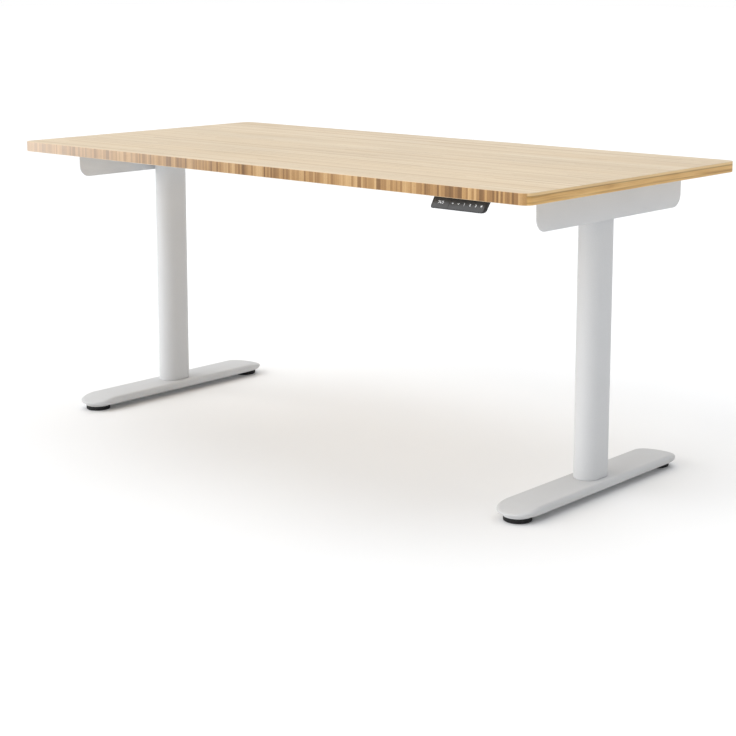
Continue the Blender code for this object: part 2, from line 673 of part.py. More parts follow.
def build_control_box(carriage_origin, carriage):
    """The controller: mounting plate, cover, circuit board and mains inlet."""
    origin = -carriage_origin
    width, depth = BOX_SIZE
    wall = BOX_WALL
    cover_top = HUNG - BOX_PLATE - GAP

    def outline(inset):
        return rounded_rectangle(width, depth, BOX_CORNER, 4, inset)

    def plate_outline(inset):
        return rounded_rectangle(width + 2 * BOX_PLATE_MARGIN, depth + 2 * BOX_PLATE_MARGIN,
                                 BOX_CORNER, 4, inset)

    plate = piece("control_box_plate", eased_slab(plate_outline, cover_top + GAP, HUNG, 0.0008, 1),
                  FINISHES["black_plastic"], carriage, origin)
    board_top = BOARD_Z + BOARD_THICKNESS
    reach_x, reach_y = (side / 2 - BOARD_POST_INSET for side in BOARD_SIZE)
    for sx in (-1, 1):
        for sy in (-1, 1):
            join(plate, prism(circle(0.0030, 12), board_top + GAP, HUNG - 0.001),
                 origin + Vector((BOARD_X + sx * reach_x, sy * reach_y, 0.0)))
    ease = BOX_EASE
    shell = loft([level(outline(ease), BOX_BOTTOM),
                  level(outline(ease * 0.3), BOX_BOTTOM + ease * 0.3),
                  level(outline(0.0), BOX_BOTTOM + ease), level(outline(0.0), cover_top),
                  level(outline(wall), cover_top), level(outline(wall), BOX_BOTTOM + wall)])
    cover = piece("control_box_cover", shell, FINISHES["black_plastic"], carriage, origin)
    window = rounded_rectangle(INLET_FLANGE[1] - 0.004, INLET_FLANGE[0] - 0.004, 0.002, 2)
    cut(cover, prism(window, -0.010, 0.010),
        origin + Vector((-width / 2, INLET_Y, INLET_Z)), (0.0, pi / 2, 0.0))
    piece("control_board", prism(rounded_rectangle(*BOARD_SIZE, 0.002, 2), BOARD_Z, board_top),
          FINISHES["circuit_board"], carriage, origin + Vector((BOARD_X, 0.0, 0.0)))
    build_mains_inlet(origin + Vector((-width / 2, INLET_Y, INLET_Z)), carriage)


def build_mains_inlet(seat, carriage):
    """A three-pin appliance inlet in the end wall of the control box, open towards -X."""
    face, back = -INLET_PROUD - GAP, INLET_DEPTH + 0.0030
    flange = rounded_rectangle(INLET_FLANGE[1], INLET_FLANGE[0], 0.003, 3)
    shank = rounded_rectangle(INLET_FLANGE[1] - 0.0046, INLET_FLANGE[0] - 0.0046, 0.0015, 3)
    recess = rounded_rectangle(INLET_RECESS[1], INLET_RECESS[0], 0.0025, 3)
    shell = loft([level(shank, back), level(shank, -GAP), level(flange, -GAP), level(flange, face),
                  level(recess, face), level(recess, INLET_DEPTH)])
    inlet = piece("mains_inlet", shell, FINISHES["black_plastic"], carriage, seat, (0.0, pi / 2, 0.0))
    for height, y in ((-0.0040, -0.0070), (-0.0040, 0.0070), (0.0040, 0.0)):
        join(inlet, block(INLET_PIN), seat + Vector((INLET_DEPTH - 0.0060, y, height)))


# ---------------------------------------------------------------- handset

def handset_half_width(z):
    """Half the housing's width at a height, following its rounded lower corners."""
    rise = min(z - HANDSET_BOTTOM, HANDSET_CORNER)
    return HANDSET_WIDTH / 2 - HANDSET_CORNER + sqrt(
        max(0.0, HANDSET_CORNER**2 - (HANDSET_CORNER - rise) ** 2)
    )


def handset_front_y(z):
    """The sloping face's place at a height."""
    share = (z - HANDSET_BOTTOM) / (HUNG - HANDSET_BOTTOM)
    return HANDSET_BOTTOM_Y + share * (HANDSET_TOP_Y - HANDSET_BOTTOM_Y)


def handset_back_y(z):
    """The housing's back at a height, behind its mounting plate's front edge at the top."""
    share = (z - HANDSET_BOTTOM) / (HUNG - HANDSET_BOTTOM)
    low, high = HANDSET_DEPTH
    return handset_front_y(z) + low + share * (high - low)


def handset_shell():
    """The handset's body: a slab that leans with its face, its edges rounded."""
    heights = [HANDSET_BOTTOM + HANDSET_CORNER * (1 - cos(pi / 2 * i / 5)) for i in range(6)]
    loops = []
    for z in heights + [HUNG]:
        half, front, back = handset_half_width(z), handset_front_y(z), handset_back_y(z)
        edge = HANDSET_EDGE
        outline = arc((half - edge, front + edge), edge, -pi / 2, 0.0, 3)
        outline += arc((half - edge, back - edge), edge, 0.0, pi / 2, 2)
        outline += arc((-half + edge, back - edge), edge, pi / 2, pi, 2)
        outline += arc((-half + edge, front + edge), edge, pi, 1.5 * pi, 3)
        loops.append(level(outline, z))
    return loft(loops)


def handset_plate_outline(front, back):
    """The mounting plate's outline, a little narrower towards the back."""
    middle, depth = (front + back) / 2, back - front
    points = rounded_rectangle(HANDSET_WIDTH - 0.0006, depth, 0.004, 3)
    return [(x * (1 - HANDSET_PLATE_TAPER * (y / depth + 0.5)), y + middle) for x, y in points]


def build_handset(carriage_origin, carriage):
    """The touch handset: housing with mounting plate, display window and touch panel."""
    origin = Vector((HANDSET_X, 0.0, 0.0)) - carriage_origin
    housing = piece("handset_housing", handset_shell(), FINISHES["black_plastic"], carriage, origin)
    plate = handset_plate_outline(HANDSET_TOP_Y + HANDSET_EDGE + 0.003, HANDSET_PLATE_BACK_Y)
    join(housing, prism(plate, HUNG - HANDSET_PLATE, HUNG - 0.00005), origin)
    width, reach, drop = HANDSET_RIB
    rib_low, rib_top = HUNG - drop, HUNG - HANDSET_PLATE / 2
    rib_front, rib_back = handset_back_y(rib_low) - 0.001, handset_back_y(HUNG) + reach
    section = [(rib_front, rib_low), (rib_front, rib_top), (rib_back, rib_top)]
    for side in (-1, 1):
        loops = [[(side * HANDSET_RIB_X + half, y, z) for y, z in section]
                 for half in (-width / 2, width / 2)]
        join(housing, loft(loops), origin)

    slope = atan2(HANDSET_TOP_Y - HANDSET_BOTTOM_Y, HUNG - HANDSET_BOTTOM)
    tilt = (pi / 2 - slope, 0.0, 0.0)
    middle = (HANDSET_BOTTOM + HUNG) / 2 + 0.0004
    face = origin + Vector((0.0, handset_front_y(middle), middle))
    pocket = rounded_rectangle(PANEL_SIZE[0] + 2 * GAP, PANEL_SIZE[1] + 2 * GAP, PANEL_CORNER, 4)
    cut(housing, prism(pocket, -PANEL_THICKNESS - GAP, 0.010), face, tilt)
    half = PANEL_SIZE[0] / 2
    split = -half + PANEL_SPLIT * PANEL_SIZE[0]
    spans = (("handset_display", -half, split - PANEL_SEAM / 2),
             ("handset_touch_panel", split + PANEL_SEAM / 2, half))
    for name, low, high in spans:
        piece(name, prism(panel_outline(low, high), -PANEL_THICKNESS, 0.0), FINISHES["gloss_black"],
              carriage, face, tilt)

    for place, side in (("left", -1), ("right", 1)):
        point = origin + Vector((side * HANDSET_SCREW_X, HANDSET_SCREW_Y, HUNG))
        cut(housing, prism(circle(0.0021, 12), -0.008, 0.004), point)
        piece(f"{place}_handset_screw", wood_screw(0.0016, 0.0036, 0.0120), FINISHES["zinc"],
              carriage, point - Vector((0.0, 0.0, HANDSET_PLATE + GAP)))


def panel_outline(low, high):
    """A panel between two X places, with round corners only at the handset's ends."""
    reach, half_y, radius = PANEL_SIZE[0] / 2, PANEL_SIZE[1] / 2, PANEL_CORNER
    points = []
    for x, sy, start in ((high, -1, -pi / 2), (high, 1, 0.0), (low, 1, pi / 2), (low, -1, pi)):
        if reach - abs(x) < 1e-9:
            inner = x - radius if x > 0 else x + radius
            points += arc((inner, sy * (half_y - radius)), radius, start, start + pi / 2, 4)
        else:
            points.append((x, sy * half_y))
    return points


# ---------------------------------------------------------------- leads

def smooth_route(points, spacing):
    """Points of a Catmull-Rom curve through the route, about spacing apart."""
    route = [Vector(p) for p in points]
    padded = [2 * route[0] - route[1], *route, 2 * route[-1] - route[-2]]
    made = []
    for a, b, c, d in zip(padded, padded[1:], padded[2:], padded[3:]):
        count = max(2, round((c - b).length / spacing))
        for i in range(count):
            t = i / count
            made.append(0.5 * (2 * b + (c - a) * t + (2 * a - 5 * b + 4 * c - d) * t * t
                               + (3 * b - a - 3 * c + d) * t**3))
    return made + [route[-1]]


def build_lead(name, route, radius, carriage_origin, carriage):
    """A lead held along the frame, as a curve with a round bevel."""
    points = smooth_route(route, radius * 8)
    curve = bpy.data.curves.new(name, "CURVE")
    curve.dimensions = "3D"
    curve.bevel_depth = radius
    curve.bevel_resolution = 2
    curve.use_fill_caps = True
    curve.materials.append(FINISHES["black_plastic"])
    spline = curve.splines.new("POLY")
    spline.points.add(len(points) - 1)
    for slot, point in zip(spline.points, points):
        slot.co = (*point, 1.0)
    made = bpy.data.objects.new(name, curve)
    made.parent = carriage
    made.location = -carriage_origin
    bpy.context.scene.collection.objects.link(made)


def build_leads(carriage_origin, carriage):
    """The two motor leads and the handset lead, each ending at the control box."""
    box_end = BOX_SIZE[0] / 2
    near_rail = RAIL_Y - RAIL_SECTION[0] / 2 - LEAD_RADIUS - 0.0020
    motor_face = COLUMN_X - WORM_INBOARD - MOTOR_RADIUS - GAP
    for side, sign in (("left", -1), ("right", 1)):
        route = [(motor_face, LEAD_HOLE_Y, WORM_Z), (motor_face - 0.035, LEAD_HOLE_Y, WORM_Z),
                 (0.560, near_rail - 0.002, WORM_Z), (0.420, near_rail, WORM_Z + 0.001),
                 (0.300, near_rail, WORM_Z - 0.001), (0.210, near_rail - 0.002, WORM_Z),
                 (0.165, 0.050, WORM_Z), (0.145, 0.035, WORM_Z), (box_end + 0.010, 0.030, WORM_Z),
                 (box_end + GAP, 0.030, WORM_Z)]
        route = [(sign * x, y, z) for x, y, z in route]
        build_lead(f"{side}_motor_lead", route, LEAD_RADIUS, carriage_origin, carriage)
    over = HUNG - HANDSET_LEAD_RADIUS - 0.0006
    start_z = HANDSET_LEAD_Z
    start_y = handset_back_y(start_z + HANDSET_LEAD_RADIUS) + GAP
    route = [(HANDSET_LEAD_X, start_y, start_z), (HANDSET_LEAD_X, start_y + 0.010, start_z),
             (HANDSET_LEAD_X - 0.001, start_y + 0.022, start_z + 0.001),
             (HANDSET_LEAD_X - 0.005, -0.325, start_z + 0.006),
             (0.566, -0.300, over), (0.530, -0.250, over), (0.460, -0.205, over),
             (0.380, -0.160, over), (0.310, -0.105, over), (0.240, -0.055, over - 0.001),
             (0.180, -0.022, 0.6760), (box_end + 0.020, -0.011, 0.6680),
             (box_end + 0.008, -0.010, 0.6660), (box_end + GAP, -0.010, 0.6660)]
    build_lead("handset_lead", route, HANDSET_LEAD_RADIUS, carriage_origin, carriage)


# ---------------------------------------------------------------- assembly

def build_desk():
    """Both column bases, the carriage that they lift, and everything on it."""
    bases = {side: body(f"{side}_base", (sign * COLUMN_X, 0.0, 0.0))
             for side, sign in (("left", -1), ("right", 1))}
    for side, base in bases.items():
        build_foot(side, base)
        build_column_base(side, base)
        for end, y in (("front", -GLIDE_Y), ("rear", GLIDE_Y)):
            build_glide(side, end, base, y)

    carriage_origin = Vector((-COLUMN_X, 0.0, HEAD_FLOOR))
    carriage = body("carriage", carriage_origin)
    build_desktop(carriage_origin, carriage)
    for side, sign in (("left", -1), ("right", 1)):
        offset = Vector((sign * COLUMN_X, 0.0, 0.0)) - carriage_origin
        build_column_head(side, sign, carriage, offset)
    build_rails(carriage_origin, carriage)
    build_control_box(carriage_origin, carriage)
    build_handset(carriage_origin, carriage)
    build_leads(carriage_origin, carriage)


clear_scene()
FINISHES = {
    "bamboo": material("bamboo", (0.80, 0.61, 0.38), 0.45),
    "powder_coat": material("powder_coat", (0.72, 0.73, 0.74), 0.50),
    "rubber": material("rubber", (0.02, 0.02, 0.02), 0.70),
    "zinc": material("zinc", (0.60, 0.61, 0.63), 0.35, 1.0),
    "steel": material("steel", (0.55, 0.56, 0.58), 0.30, 1.0),
    "cast_alloy": material("cast_alloy", (0.62, 0.63, 0.65), 0.45, 1.0),
    "black_paint": material("black_paint", (0.03, 0.03, 0.03), 0.40),
    "black_plastic": material("black_plastic", (0.02, 0.02, 0.02), 0.45),
    "gloss_black": material("gloss_black", (0.03, 0.03, 0.035), 0.15),
    "grey_plastic": material("grey_plastic", (0.66, 0.67, 0.68), 0.50),
    "white_plastic": material("white_plastic", (0.80, 0.80, 0.76), 0.40),
    "circuit_board": material("circuit_board", (0.03, 0.20, 0.09), 0.40),
    "helper": material("helper", (1.0, 0.0, 1.0), 0.50),
}
build_desk()
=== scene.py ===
"""Looks of a height adjustable standing desk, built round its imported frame.

Metres, +Z up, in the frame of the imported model. Every made piece has its origin at the frame's
origin and its place in its mesh, so that one set of coordinates serves all the materials.
"""

from math import atan2, cos, pi, radians, sin, sqrt

import bmesh
import bpy
from mathutils import Matrix, Vector


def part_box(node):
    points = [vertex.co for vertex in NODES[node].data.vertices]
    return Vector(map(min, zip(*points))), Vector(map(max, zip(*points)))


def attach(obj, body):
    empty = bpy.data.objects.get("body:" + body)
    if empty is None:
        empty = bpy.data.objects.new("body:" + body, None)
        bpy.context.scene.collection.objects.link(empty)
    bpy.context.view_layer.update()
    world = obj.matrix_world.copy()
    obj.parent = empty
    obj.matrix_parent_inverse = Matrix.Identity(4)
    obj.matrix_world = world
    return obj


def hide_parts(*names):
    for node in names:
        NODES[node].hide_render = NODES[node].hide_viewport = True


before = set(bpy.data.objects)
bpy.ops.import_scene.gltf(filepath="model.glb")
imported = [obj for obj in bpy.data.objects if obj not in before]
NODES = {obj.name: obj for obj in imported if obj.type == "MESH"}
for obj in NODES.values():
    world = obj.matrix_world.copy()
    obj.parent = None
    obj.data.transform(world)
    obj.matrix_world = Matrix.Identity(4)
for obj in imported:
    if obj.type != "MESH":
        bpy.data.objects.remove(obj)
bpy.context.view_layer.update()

# -------- dimensions

GAP = 0.0003
SIDES = (("left", -1), ("right", 1))
ENDS = (("front", -1), ("rear", 1))
TOP_LOW, TOP_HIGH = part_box("desktop")
UNDERSIDE = TOP_LOW.z
HUNG = UNDERSIDE - GAP
COLUMN_X = 0.69
OUTER_TUBE = (0.0605, 0.088)
OUTER_WALL = 0.002
INNER_TUBE = (0.053, 0.0805)
INNER_WALL = 0.0018
FOOT_WIDTH = 0.095
FOOT_LENGTH = 0.622
FOOT_TOP = 0.034
FOOT_UNDERSIDE = 0.013
FOOT_WAIST = 0.0215
FOOT_END_Y = (FOOT_LENGTH - FOOT_WIDTH) / 2
FOOT_DOME_Y = 0.25
FOOT_DOME_DROP = 0.01
FOOT_RIM_RISE = 0.0035
GLIDE_Y = 0.268
GLIDE_RADIUS = 0.031
GLIDE_HEIGHT = 0.0105
BOSS_RADIUS = 0.033
SHEET = 0.0025
HOUSING_INBOARD = 0.074
HOUSING_OUTBOARD = 0.0392
HOUSING_HALF_Y = 0.105
HOUSING_TOP = 0.6825
BRACKET_X = 0.732
BRACKET_HALF_Y = 0.275
BRACKET_BOTTOM = UNDERSIDE - 0.0735
BRACKET_CORNER = 0.03
BRACKET_FLANGE = 0.032
BRACKET_SCREW_X = BRACKET_X - 0.0176
BRACKET_SCREW_Y = 0.24
RAIL_Y = 0.08
RAIL_SECTION = (0.025, 0.032)
RAIL_TOP = 0.68
BOX_SIZE = (0.244, 0.086)
BOX_BOTTOM = 0.6475
BOX_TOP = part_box("control_box_cover")[1].z
WORM_Z = 0.659
HANDSET_X = 0.6195
HANDSET_WIDTH = 0.139
HANDSET_TOP_Y = -0.38
HANDSET_BOTTOM_Y = -0.395
HANDSET_BOTTOM = 0.661
HANDSET_DEPTH = (0.009, 0.013)
HANDSET_PLATE_BACK_Y = -0.335
HANDSET_PLATE = 0.0026
HANDSET_SCREW_X = 0.0278
HANDSET_SCREW_Y = -0.346
PANEL_SIZE = (0.132, 0.0262)
PANEL_SPLIT = 0.32
READING = (("7", 0.01821), ("4", 0.02232), ("dot", 0.02525), ("0", 0.02858))   # from its left end
READING_HEIGHT = 0.00587
KEYS = (("up", 0.05443), ("down", 0.0693), ("1", 0.08379), ("2", 0.09867), ("3", 0.11316),
        ("memory", 0.12765))
KEY_HEIGHT = 0.00431
LEAD_RADIUS = 0.0022
HANDSET_LEAD_RADIUS = 0.0016
SHARP_ANGLE = 0.6


# -------- material graphs

class Look:
    """A Principled material whose nodes are added one call at a time."""

    def __init__(self, name, **constants):
        self.made = bpy.data.materials.new(name)
        self.made.use_nodes = True
        self.tree = self.made.node_tree
        self.shader = self.tree.nodes["Principled BSDF"]
        for label, value in constants.items():
            self.shader.inputs[label.replace("_", " ")].default_value = value
        coordinates = self.tree.nodes.new("ShaderNodeTexCoord")
        self.place = coordinates.outputs["Object"]
        self.facing = coordinates.outputs["Normal"]

    def feed(self, socket, value):
        if isinstance(value, bpy.types.NodeSocket):
            self.tree.links.new(value, socket)
        else:
            socket.default_value = value

    def node(self, kind, feeds, out=0, **settings):
        made = self.tree.nodes.new(kind)
        for label, value in settings.items():
            setattr(made, label, value)
        for socket, value in feeds.items():
            self.feed(made.inputs[socket], value)
        return made.outputs[out]

    def maths(self, operation, a, b=0):
        return self.node("ShaderNodeMath", {0: a, 1: b}, operation=operation)

    def plus(self, a, b):
        return self.maths("ADD", a, b)

    def minus(self, a, b):
        return self.maths("SUBTRACT", a, b)

    def times(self, a, b):
        return self.maths("MULTIPLY", a, b)

    def cell(self, value, width):
        """The number of the strip of this width that a place falls in."""
        return self.maths("FLOOR", self.maths("DIVIDE", value, width))

    def off_centre(self, value, width):
        """How far a place is from the middle of its strip: 0 in the middle, 0.5 at its sides."""
        within = self.maths("FRACT", self.maths("DIVIDE", value, width))
        return self.maths("ABSOLUTE", self.minus(within, 0.5))

    def split(self, vector):
        made = self.tree.nodes.new("ShaderNodeSeparateXYZ")
        self.feed(made.inputs[0], vector)
        return made.outputs[0], made.outputs[1], made.outputs[2]

    def joined(self, x, y, z):
        return self.node("ShaderNodeCombineXYZ", {0: x, 1: y, 2: z})

    def noise(self, scale, detail=2, roughness=0.5, distortion=0, vector=None):
        return self.node("ShaderNodeTexNoise",
                         {"Vector": vector or self.place, "Scale": scale, "Detail": detail,
                          "Roughness": roughness, "Distortion": distortion})

    def drawn(self, scales, detail=2, roughness=0.5, distortion=0, scale=1):
        """Noise drawn out into streaks by its own scale along each axis."""
        vector = self.node("ShaderNodeMapping", {"Vector": self.place, "Scale": scales})
        return self.noise(scale, detail, roughness, distortion, vector)

    def cells(self, scale, out=0):
        return self.node("ShaderNodeTexVoronoi", {"Vector": self.place, "Scale": scale}, out)

    def chance(self, a, b=0):
        """A repeatable random number for a pair of whole numbers."""
        return self.node("ShaderNodeTexWhiteNoise", {"Vector": self.joined(a, b, 0)},
                         noise_dimensions="2D")

    def ranged(self, value, low, high, to_low=0, to_high=1, smooth=False):
        return self.node("ShaderNodeMapRange",
                         {"Value": value, "From Min": low, "From Max": high,
                          "To Min": to_low, "To Max": to_high},
                         interpolation_type="SMOOTHSTEP" if smooth else "LINEAR")

    def swing(self, noise, to_low, to_high):
        """A noise's usual span spread over a range."""
        return self.ranged(noise, 0.3, 0.7, to_low, to_high)

    def ramp(self, value, stops):
        made = self.tree.nodes.new("ShaderNodeValToRGB")
        self.feed(made.inputs[0], value)
        points = made.color_ramp.elements
        while len(points) < len(stops):
            points.new(0.5)
        for point, (position, colour) in zip(points, stops):
            point.position = position
            point.color = (*colour, 1)
        return made.outputs[0]

    def mixed(self, share, a, b, how="MIX"):
        made = self.tree.nodes.new("ShaderNodeMix")
        made.data_type = "RGBA"
        made.blend_type = how
        self.feed(made.inputs[0], share)
        for index, value in ((6, a), (7, b)):
            self.feed(made.inputs[index], (*value, 1) if isinstance(value, tuple) else value)
        return made.outputs[2]

    def grey(self, value):
        """A number as a colour, for multiplying."""
        return self.joined(value, value, value)

    def toned(self, colour, *values):
        """The colour multiplied by each of these numbers."""
        for value in values:
            colour = self.mixed(1, colour, self.grey(value), "MULTIPLY")
        return colour

    def bump(self, height, distance, normal=None, strength=1):
        feeds = {"Height": height, "Distance": distance, "Strength": strength}
        if normal is not None:
            feeds["Normal"] = normal
        return self.node("ShaderNodeBump", feeds)

    def finish(self, colour=None, roughness=None, normal=None):
        for label, value in (("Base Color", colour), ("Roughness", roughness), ("Normal", normal)):
            if value is not None:
                self.feed(self.shader.inputs[label], value)
        return self.made


ROW_WIDTH = 0.0062            # strips of the writing surface, across Y
STRIP_LENGTH = 0.85
KNUCKLE_SPACING = 0.262
SLAT_WIDTH = 0.0054           # upright strips of the front and rear edges, along X
BOARD_WIDTH = 0.0189
GLUE_LINES = (UNDERSIDE + 0.018, UNDERSIDE + 0.0052)


def bamboo_look():
    """Lacquered bamboo: fine strips on the faces, end grain front and rear, plies at the ends, with a
    painted highlight on the eased rims and a painted sheen that lightens the left end of the front and
    rear edges.
    """
    look = Look("bamboo", Specular_IOR_Level=0.32, Coat_Weight=0.05, Coat_Roughness=0.3)
    x, y, z = look.split(look.place)
    nx, ny, nz = look.split(look.facing)
    nx, ny, nz = (look.maths("ABSOLUTE", n) for n in (nx, ny, nz))
    face = look.ranged(nz, 0.45, 0.85, smooth=True)
    end_grain = look.ranged(look.minus(ny, nx), -0.12, 0.12, smooth=True)

    # the writing surface: strips along X, joined end to end, with knuckles
    row = look.cell(y, ROW_WIDTH)
    shift = look.chance(row, 3)
    run = look.plus(x, look.times(shift, 5))
    strip = look.chance(row, look.cell(run, STRIP_LENGTH))
    fibre = look.drawn((5, 620, 40), 4, 0.62)
    hair = look.drawn((22, 1500, 40), 2, 0.5)
    cloud = look.drawn((0.9, 3.4, 1), 3, 0.55, scale=1.6)
    knuckle = look.off_centre(run, KNUCKLE_SPACING)
    knuckle = look.times(look.ranged(knuckle, 0.486, 0.499, smooth=True),
                         look.ranged(strip, 0.35, 0.6))
    top = look.ramp(strip, ((0, (0.592, 0.452, 0.292)), (0.3, (0.673, 0.531, 0.361)),
                            (0.7, (0.707, 0.573, 0.402)), (1, (0.765, 0.642, 0.47))))
    top = look.toned(top, look.ranged(fibre, 0.25, 0.75, 0.94, 1.045),
                     look.swing(hair, 0.975, 1.02), look.swing(cloud, 0.95, 1.04),
                     look.ranged(knuckle, 0, 1, 1, 0.86))

    # front and rear edges: the ends of upright strips
    wobble = look.drawn((34, 0, 0), 1)
    along = look.plus(x, look.times(wobble, 0.011))
    slat = look.cell(along, SLAT_WIDTH)
    board = look.cell(along, BOARD_WIDTH)
    tone = look.plus(look.times(look.chance(slat, 11), 0.62),
                     look.times(look.chance(board, 17), 0.38))
    edge = look.ramp(tone, ((0.1, (0.18, 0.092, 0.034)), (0.34, (0.314, 0.172, 0.068)),
                            (0.6, (0.43, 0.252, 0.105)), (0.92, (0.55, 0.355, 0.172))))
    crack = look.ranged(look.off_centre(along, SLAT_WIDTH), 0.44, 0.5, 1, 0.72)
    bundle = look.drawn((1500, 60, 260), 3, 0.65)
    edge = look.toned(edge, crack, look.ranged(bundle, 0.3, 0.72, 0.84, 1.12))
    # painted sheen: the front and rear edges are mixed towards a pale tone towards the left end
    painted_left_sheen = look.ranged(look.plus(x, look.times(wobble, 0.2)), -0.75, 0.1, 0.6, 0)
    edge = look.mixed(painted_left_sheen, edge, (0.8, 0.67, 0.56))
    # the front and rear edges grow lighter towards the right end
    lighter_to_right = look.ranged(x, 0, 0.75)
    edge = look.mixed(lighter_to_right, edge, look.mixed(1, edge, (1.14, 1.12, 1.04), "MULTIPLY"))

    # left and right edges: long plies with a dark glue line under the face
    plies = look.drawn((40, 4.5, 300), 3, 0.6, 0.35)
    drift = look.drawn((1, 6, 60), 2, 0.5, 0.8)
    side = look.ramp(look.plus(look.times(plies, 0.6), look.times(drift, 0.4)),
                     ((0.34, (0.48, 0.262, 0.078)), (0.47, (0.655, 0.392, 0.138)),
                      (0.58, (0.755, 0.482, 0.188)), (0.7, (0.845, 0.585, 0.26))))
    glue = look.maths("ABSOLUTE", look.minus(z, GLUE_LINES[0]))
    lower_glue = look.maths("ABSOLUTE", look.minus(z, GLUE_LINES[1]))
    side = look.mixed(look.ranged(z, UNDERSIDE + 0.0183, UNDERSIDE + 0.0195, 0, 0.6), side,
                      (0.83, 0.62, 0.35))
    side = look.toned(side, look.ranged(glue, 0.0003, 0.0022, 0.66, 1, True),
                      look.ranged(lower_glue, 0.0002, 0.0009, 0.8, 1, True))

    # painted highlight: the eased rims of the desktop are mixed towards a pale tone
    ease = look.times(look.ranged(nz, 0.12, 0.45, smooth=True),
                      look.ranged(nz, 0.8, 0.97, 1, 0, True))
    colour = look.mixed(face, look.mixed(end_grain, side, edge), top)
    colour = look.mixed(look.times(ease, 0.45), colour, (0.76, 0.6, 0.41))
    smear = look.drawn((2, 5, 3), 3, scale=2)
    roughness = look.plus(look.swing(fibre, 0.42, 0.53),
                          look.ranged(smear, 0.35, 0.65, -0.04, 0.05))
    height = look.plus(look.times(fibre, 0.6), look.times(hair, 0.4))
    grain = look.bump(height, 0.0001)
    normal = look.bump(look.mixed(face, look.grey(crack), (1, 1, 1)), 0.00012, grain, 0.6)
    return look.finish(colour, roughness, normal)


def powder_coat_look():
    """Fine-textured light grey powder coat over steel."""
    look = Look("powder_coat", Specular_IOR_Level=0.4)
    base = (0.642, 0.645, 0.65)
    peel = look.noise(620, 2, 0.55)
    grit = look.noise(2100, 1)
    cloud = look.noise(7, 3)
    rub = look.drawn((9, 9, 34), 4, 0.65)
    z = look.split(look.place)[2]
    dust = look.times(look.ranged(z, 0.004, 0.04, 1, 0, True),
                      look.ranged(rub, 0.42, 0.7))
    colour = look.toned(look.mixed(dust, base, (0.56, 0.548, 0.53)),
                        look.swing(peel, 0.975, 1.02),
                        look.swing(grit, 0.985, 1.012),
                        look.swing(cloud, 0.985, 1.012))
    roughness = look.plus(look.swing(peel, 0.44, 0.56),
                          look.ranged(rub, 0.35, 0.65, -0.035, 0.035))
    normal = look.bump(grit, 0.00005, look.bump(peel, 0.00016, strength=0.7), 0.6)
    return look.finish(colour, roughness, normal)


def moulded_look(name, base, grain=900, depth=0.00012, low=0.42, high=0.58, lift=0.12, **constants):
    """Moulded plastic or rubber with a fine eroded texture."""
    look = Look(name, **constants)
    fine = look.noise(grain, 3, 0.6)
    speck = look.cells(grain * 0.8)
    cloud = look.noise(22, 3)
    scuff = look.drawn((60, 240, 130), 4, 0.7)
    colour = look.toned(base, look.swing(fine, 1 - lift, 1 + lift),
                        look.swing(cloud, 1 - lift / 2, 1 + lift / 2),
                        look.ranged(scuff, 0.62, 0.78, 1, 1 + 1.5 * lift))
    roughness = look.plus(look.swing(fine, low, high),
                          look.ranged(scuff, 0.45, 0.75, 0.03, -0.05))
    normal = look.bump(speck, depth * 0.6, look.bump(fine, depth, strength=0.8), 0.5)
    return look.finish(colour, roughness, normal)


def metal_look(name, base, low, high, stretch, spangle=0):
    """Bare or plated metal with tool marks and, where plated, faint spangle."""
    look = Look(name, Metallic=1)
    marks = look.drawn(stretch, 4, 0.6)
    stain = look.noise(38, 4, 0.6)
    flake = look.cells(420, out=1)
    tone = look.ranged(look.node("ShaderNodeSeparateColor", {0: flake}), 0, 1,
                       1 - spangle, 1 + spangle)
    colour = look.toned(base, tone, look.swing(marks, 0.93, 1.05),
                        look.ranged(stain, 0.35, 0.7, 1.03, 0.88))
    roughness = look.plus(look.swing(marks, low, high),
                          look.ranged(stain, 0.4, 0.7, -0.02, 0.07))
    return look.finish(colour, roughness, look.bump(marks, 0.00006, strength=0.6))


def panel_look():
    """Smoked gloss cover of the handset, with painted reflection and shade in its colour: darkest at its
    lower edge, lightest a little above the middle of its height.
    """
    look = Look("gloss_black", Specular_IOR_Level=0.42, Coat_Weight=0.08, Coat_Roughness=0.14)
    z = look.split(look.place)[2]
    # painted reflection and shade: the face's colour changes with height, darkest at its lower edge
    rise = look.ranged(z, HANDSET_BOTTOM + 0.001, HUNG - 0.002, smooth=True)
    base = look.ramp(rise, ((0, (0.034, 0.034, 0.035)), (0.55, (0.042, 0.042, 0.043)),
                            (1, (0.038, 0.038, 0.039))))
    haze = look.noise(60, 4, 0.6)
    swirl = look.drawn((900, 140, 300), 3, 0.7, 0.6)
    colour = look.toned(base, look.swing(haze, 0.94, 1.07))
    roughness = look.plus(look.swing(haze, 0.3, 0.4),
                          look.ranged(swirl, 0.55, 0.8, 0, 0.1))
    return look.finish(colour, roughness, look.bump(swirl, 0.00001, strength=0.25))


def board_look():
    """Green solder mask with copper tracks under it and pads of solder."""
    look = Look("circuit_board", Specular_IOR_Level=0.5)
    tracks = look.node("ShaderNodeTexBrick",
                       {"Vector": look.place, "Scale": 180, "Mortar Size": 0.028,
                        "Color1": (0, 0, 0, 1), "Color2": (0, 0, 0, 1), "Mortar": (1, 1, 1, 1)})
    pads = look.ranged(look.cells(230), 0.14, 0.17, 1, 0)
    grain = look.noise(500, 3)
    colour = look.mixed(look.times(look.node("ShaderNodeSeparateColor", {0: tracks}), 0.55),
                        (0.012, 0.095, 0.04), (0.03, 0.19, 0.08))
    colour = look.mixed(pads, colour, (0.56, 0.56, 0.54))
    colour = look.toned(colour, look.swing(grain, 0.9, 1.1))
    return look.finish(colour, look.swing(grain, 0.28, 0.42), look.bump(pads, 0.0001))


def lit_look():
    """The handset's backlit legends, with the uneven glow of a printed mask."""
    look = Look("legend_white", Roughness=0.4, Emission_Strength=0.75)
    uneven = look.noise(700, 2)
    colour = look.toned((0.86, 0.88, 0.9), look.swing(uneven, 0.9, 1.06))
    look.feed(look.shader.inputs["Emission Color"], colour)
    return look.finish(colour)


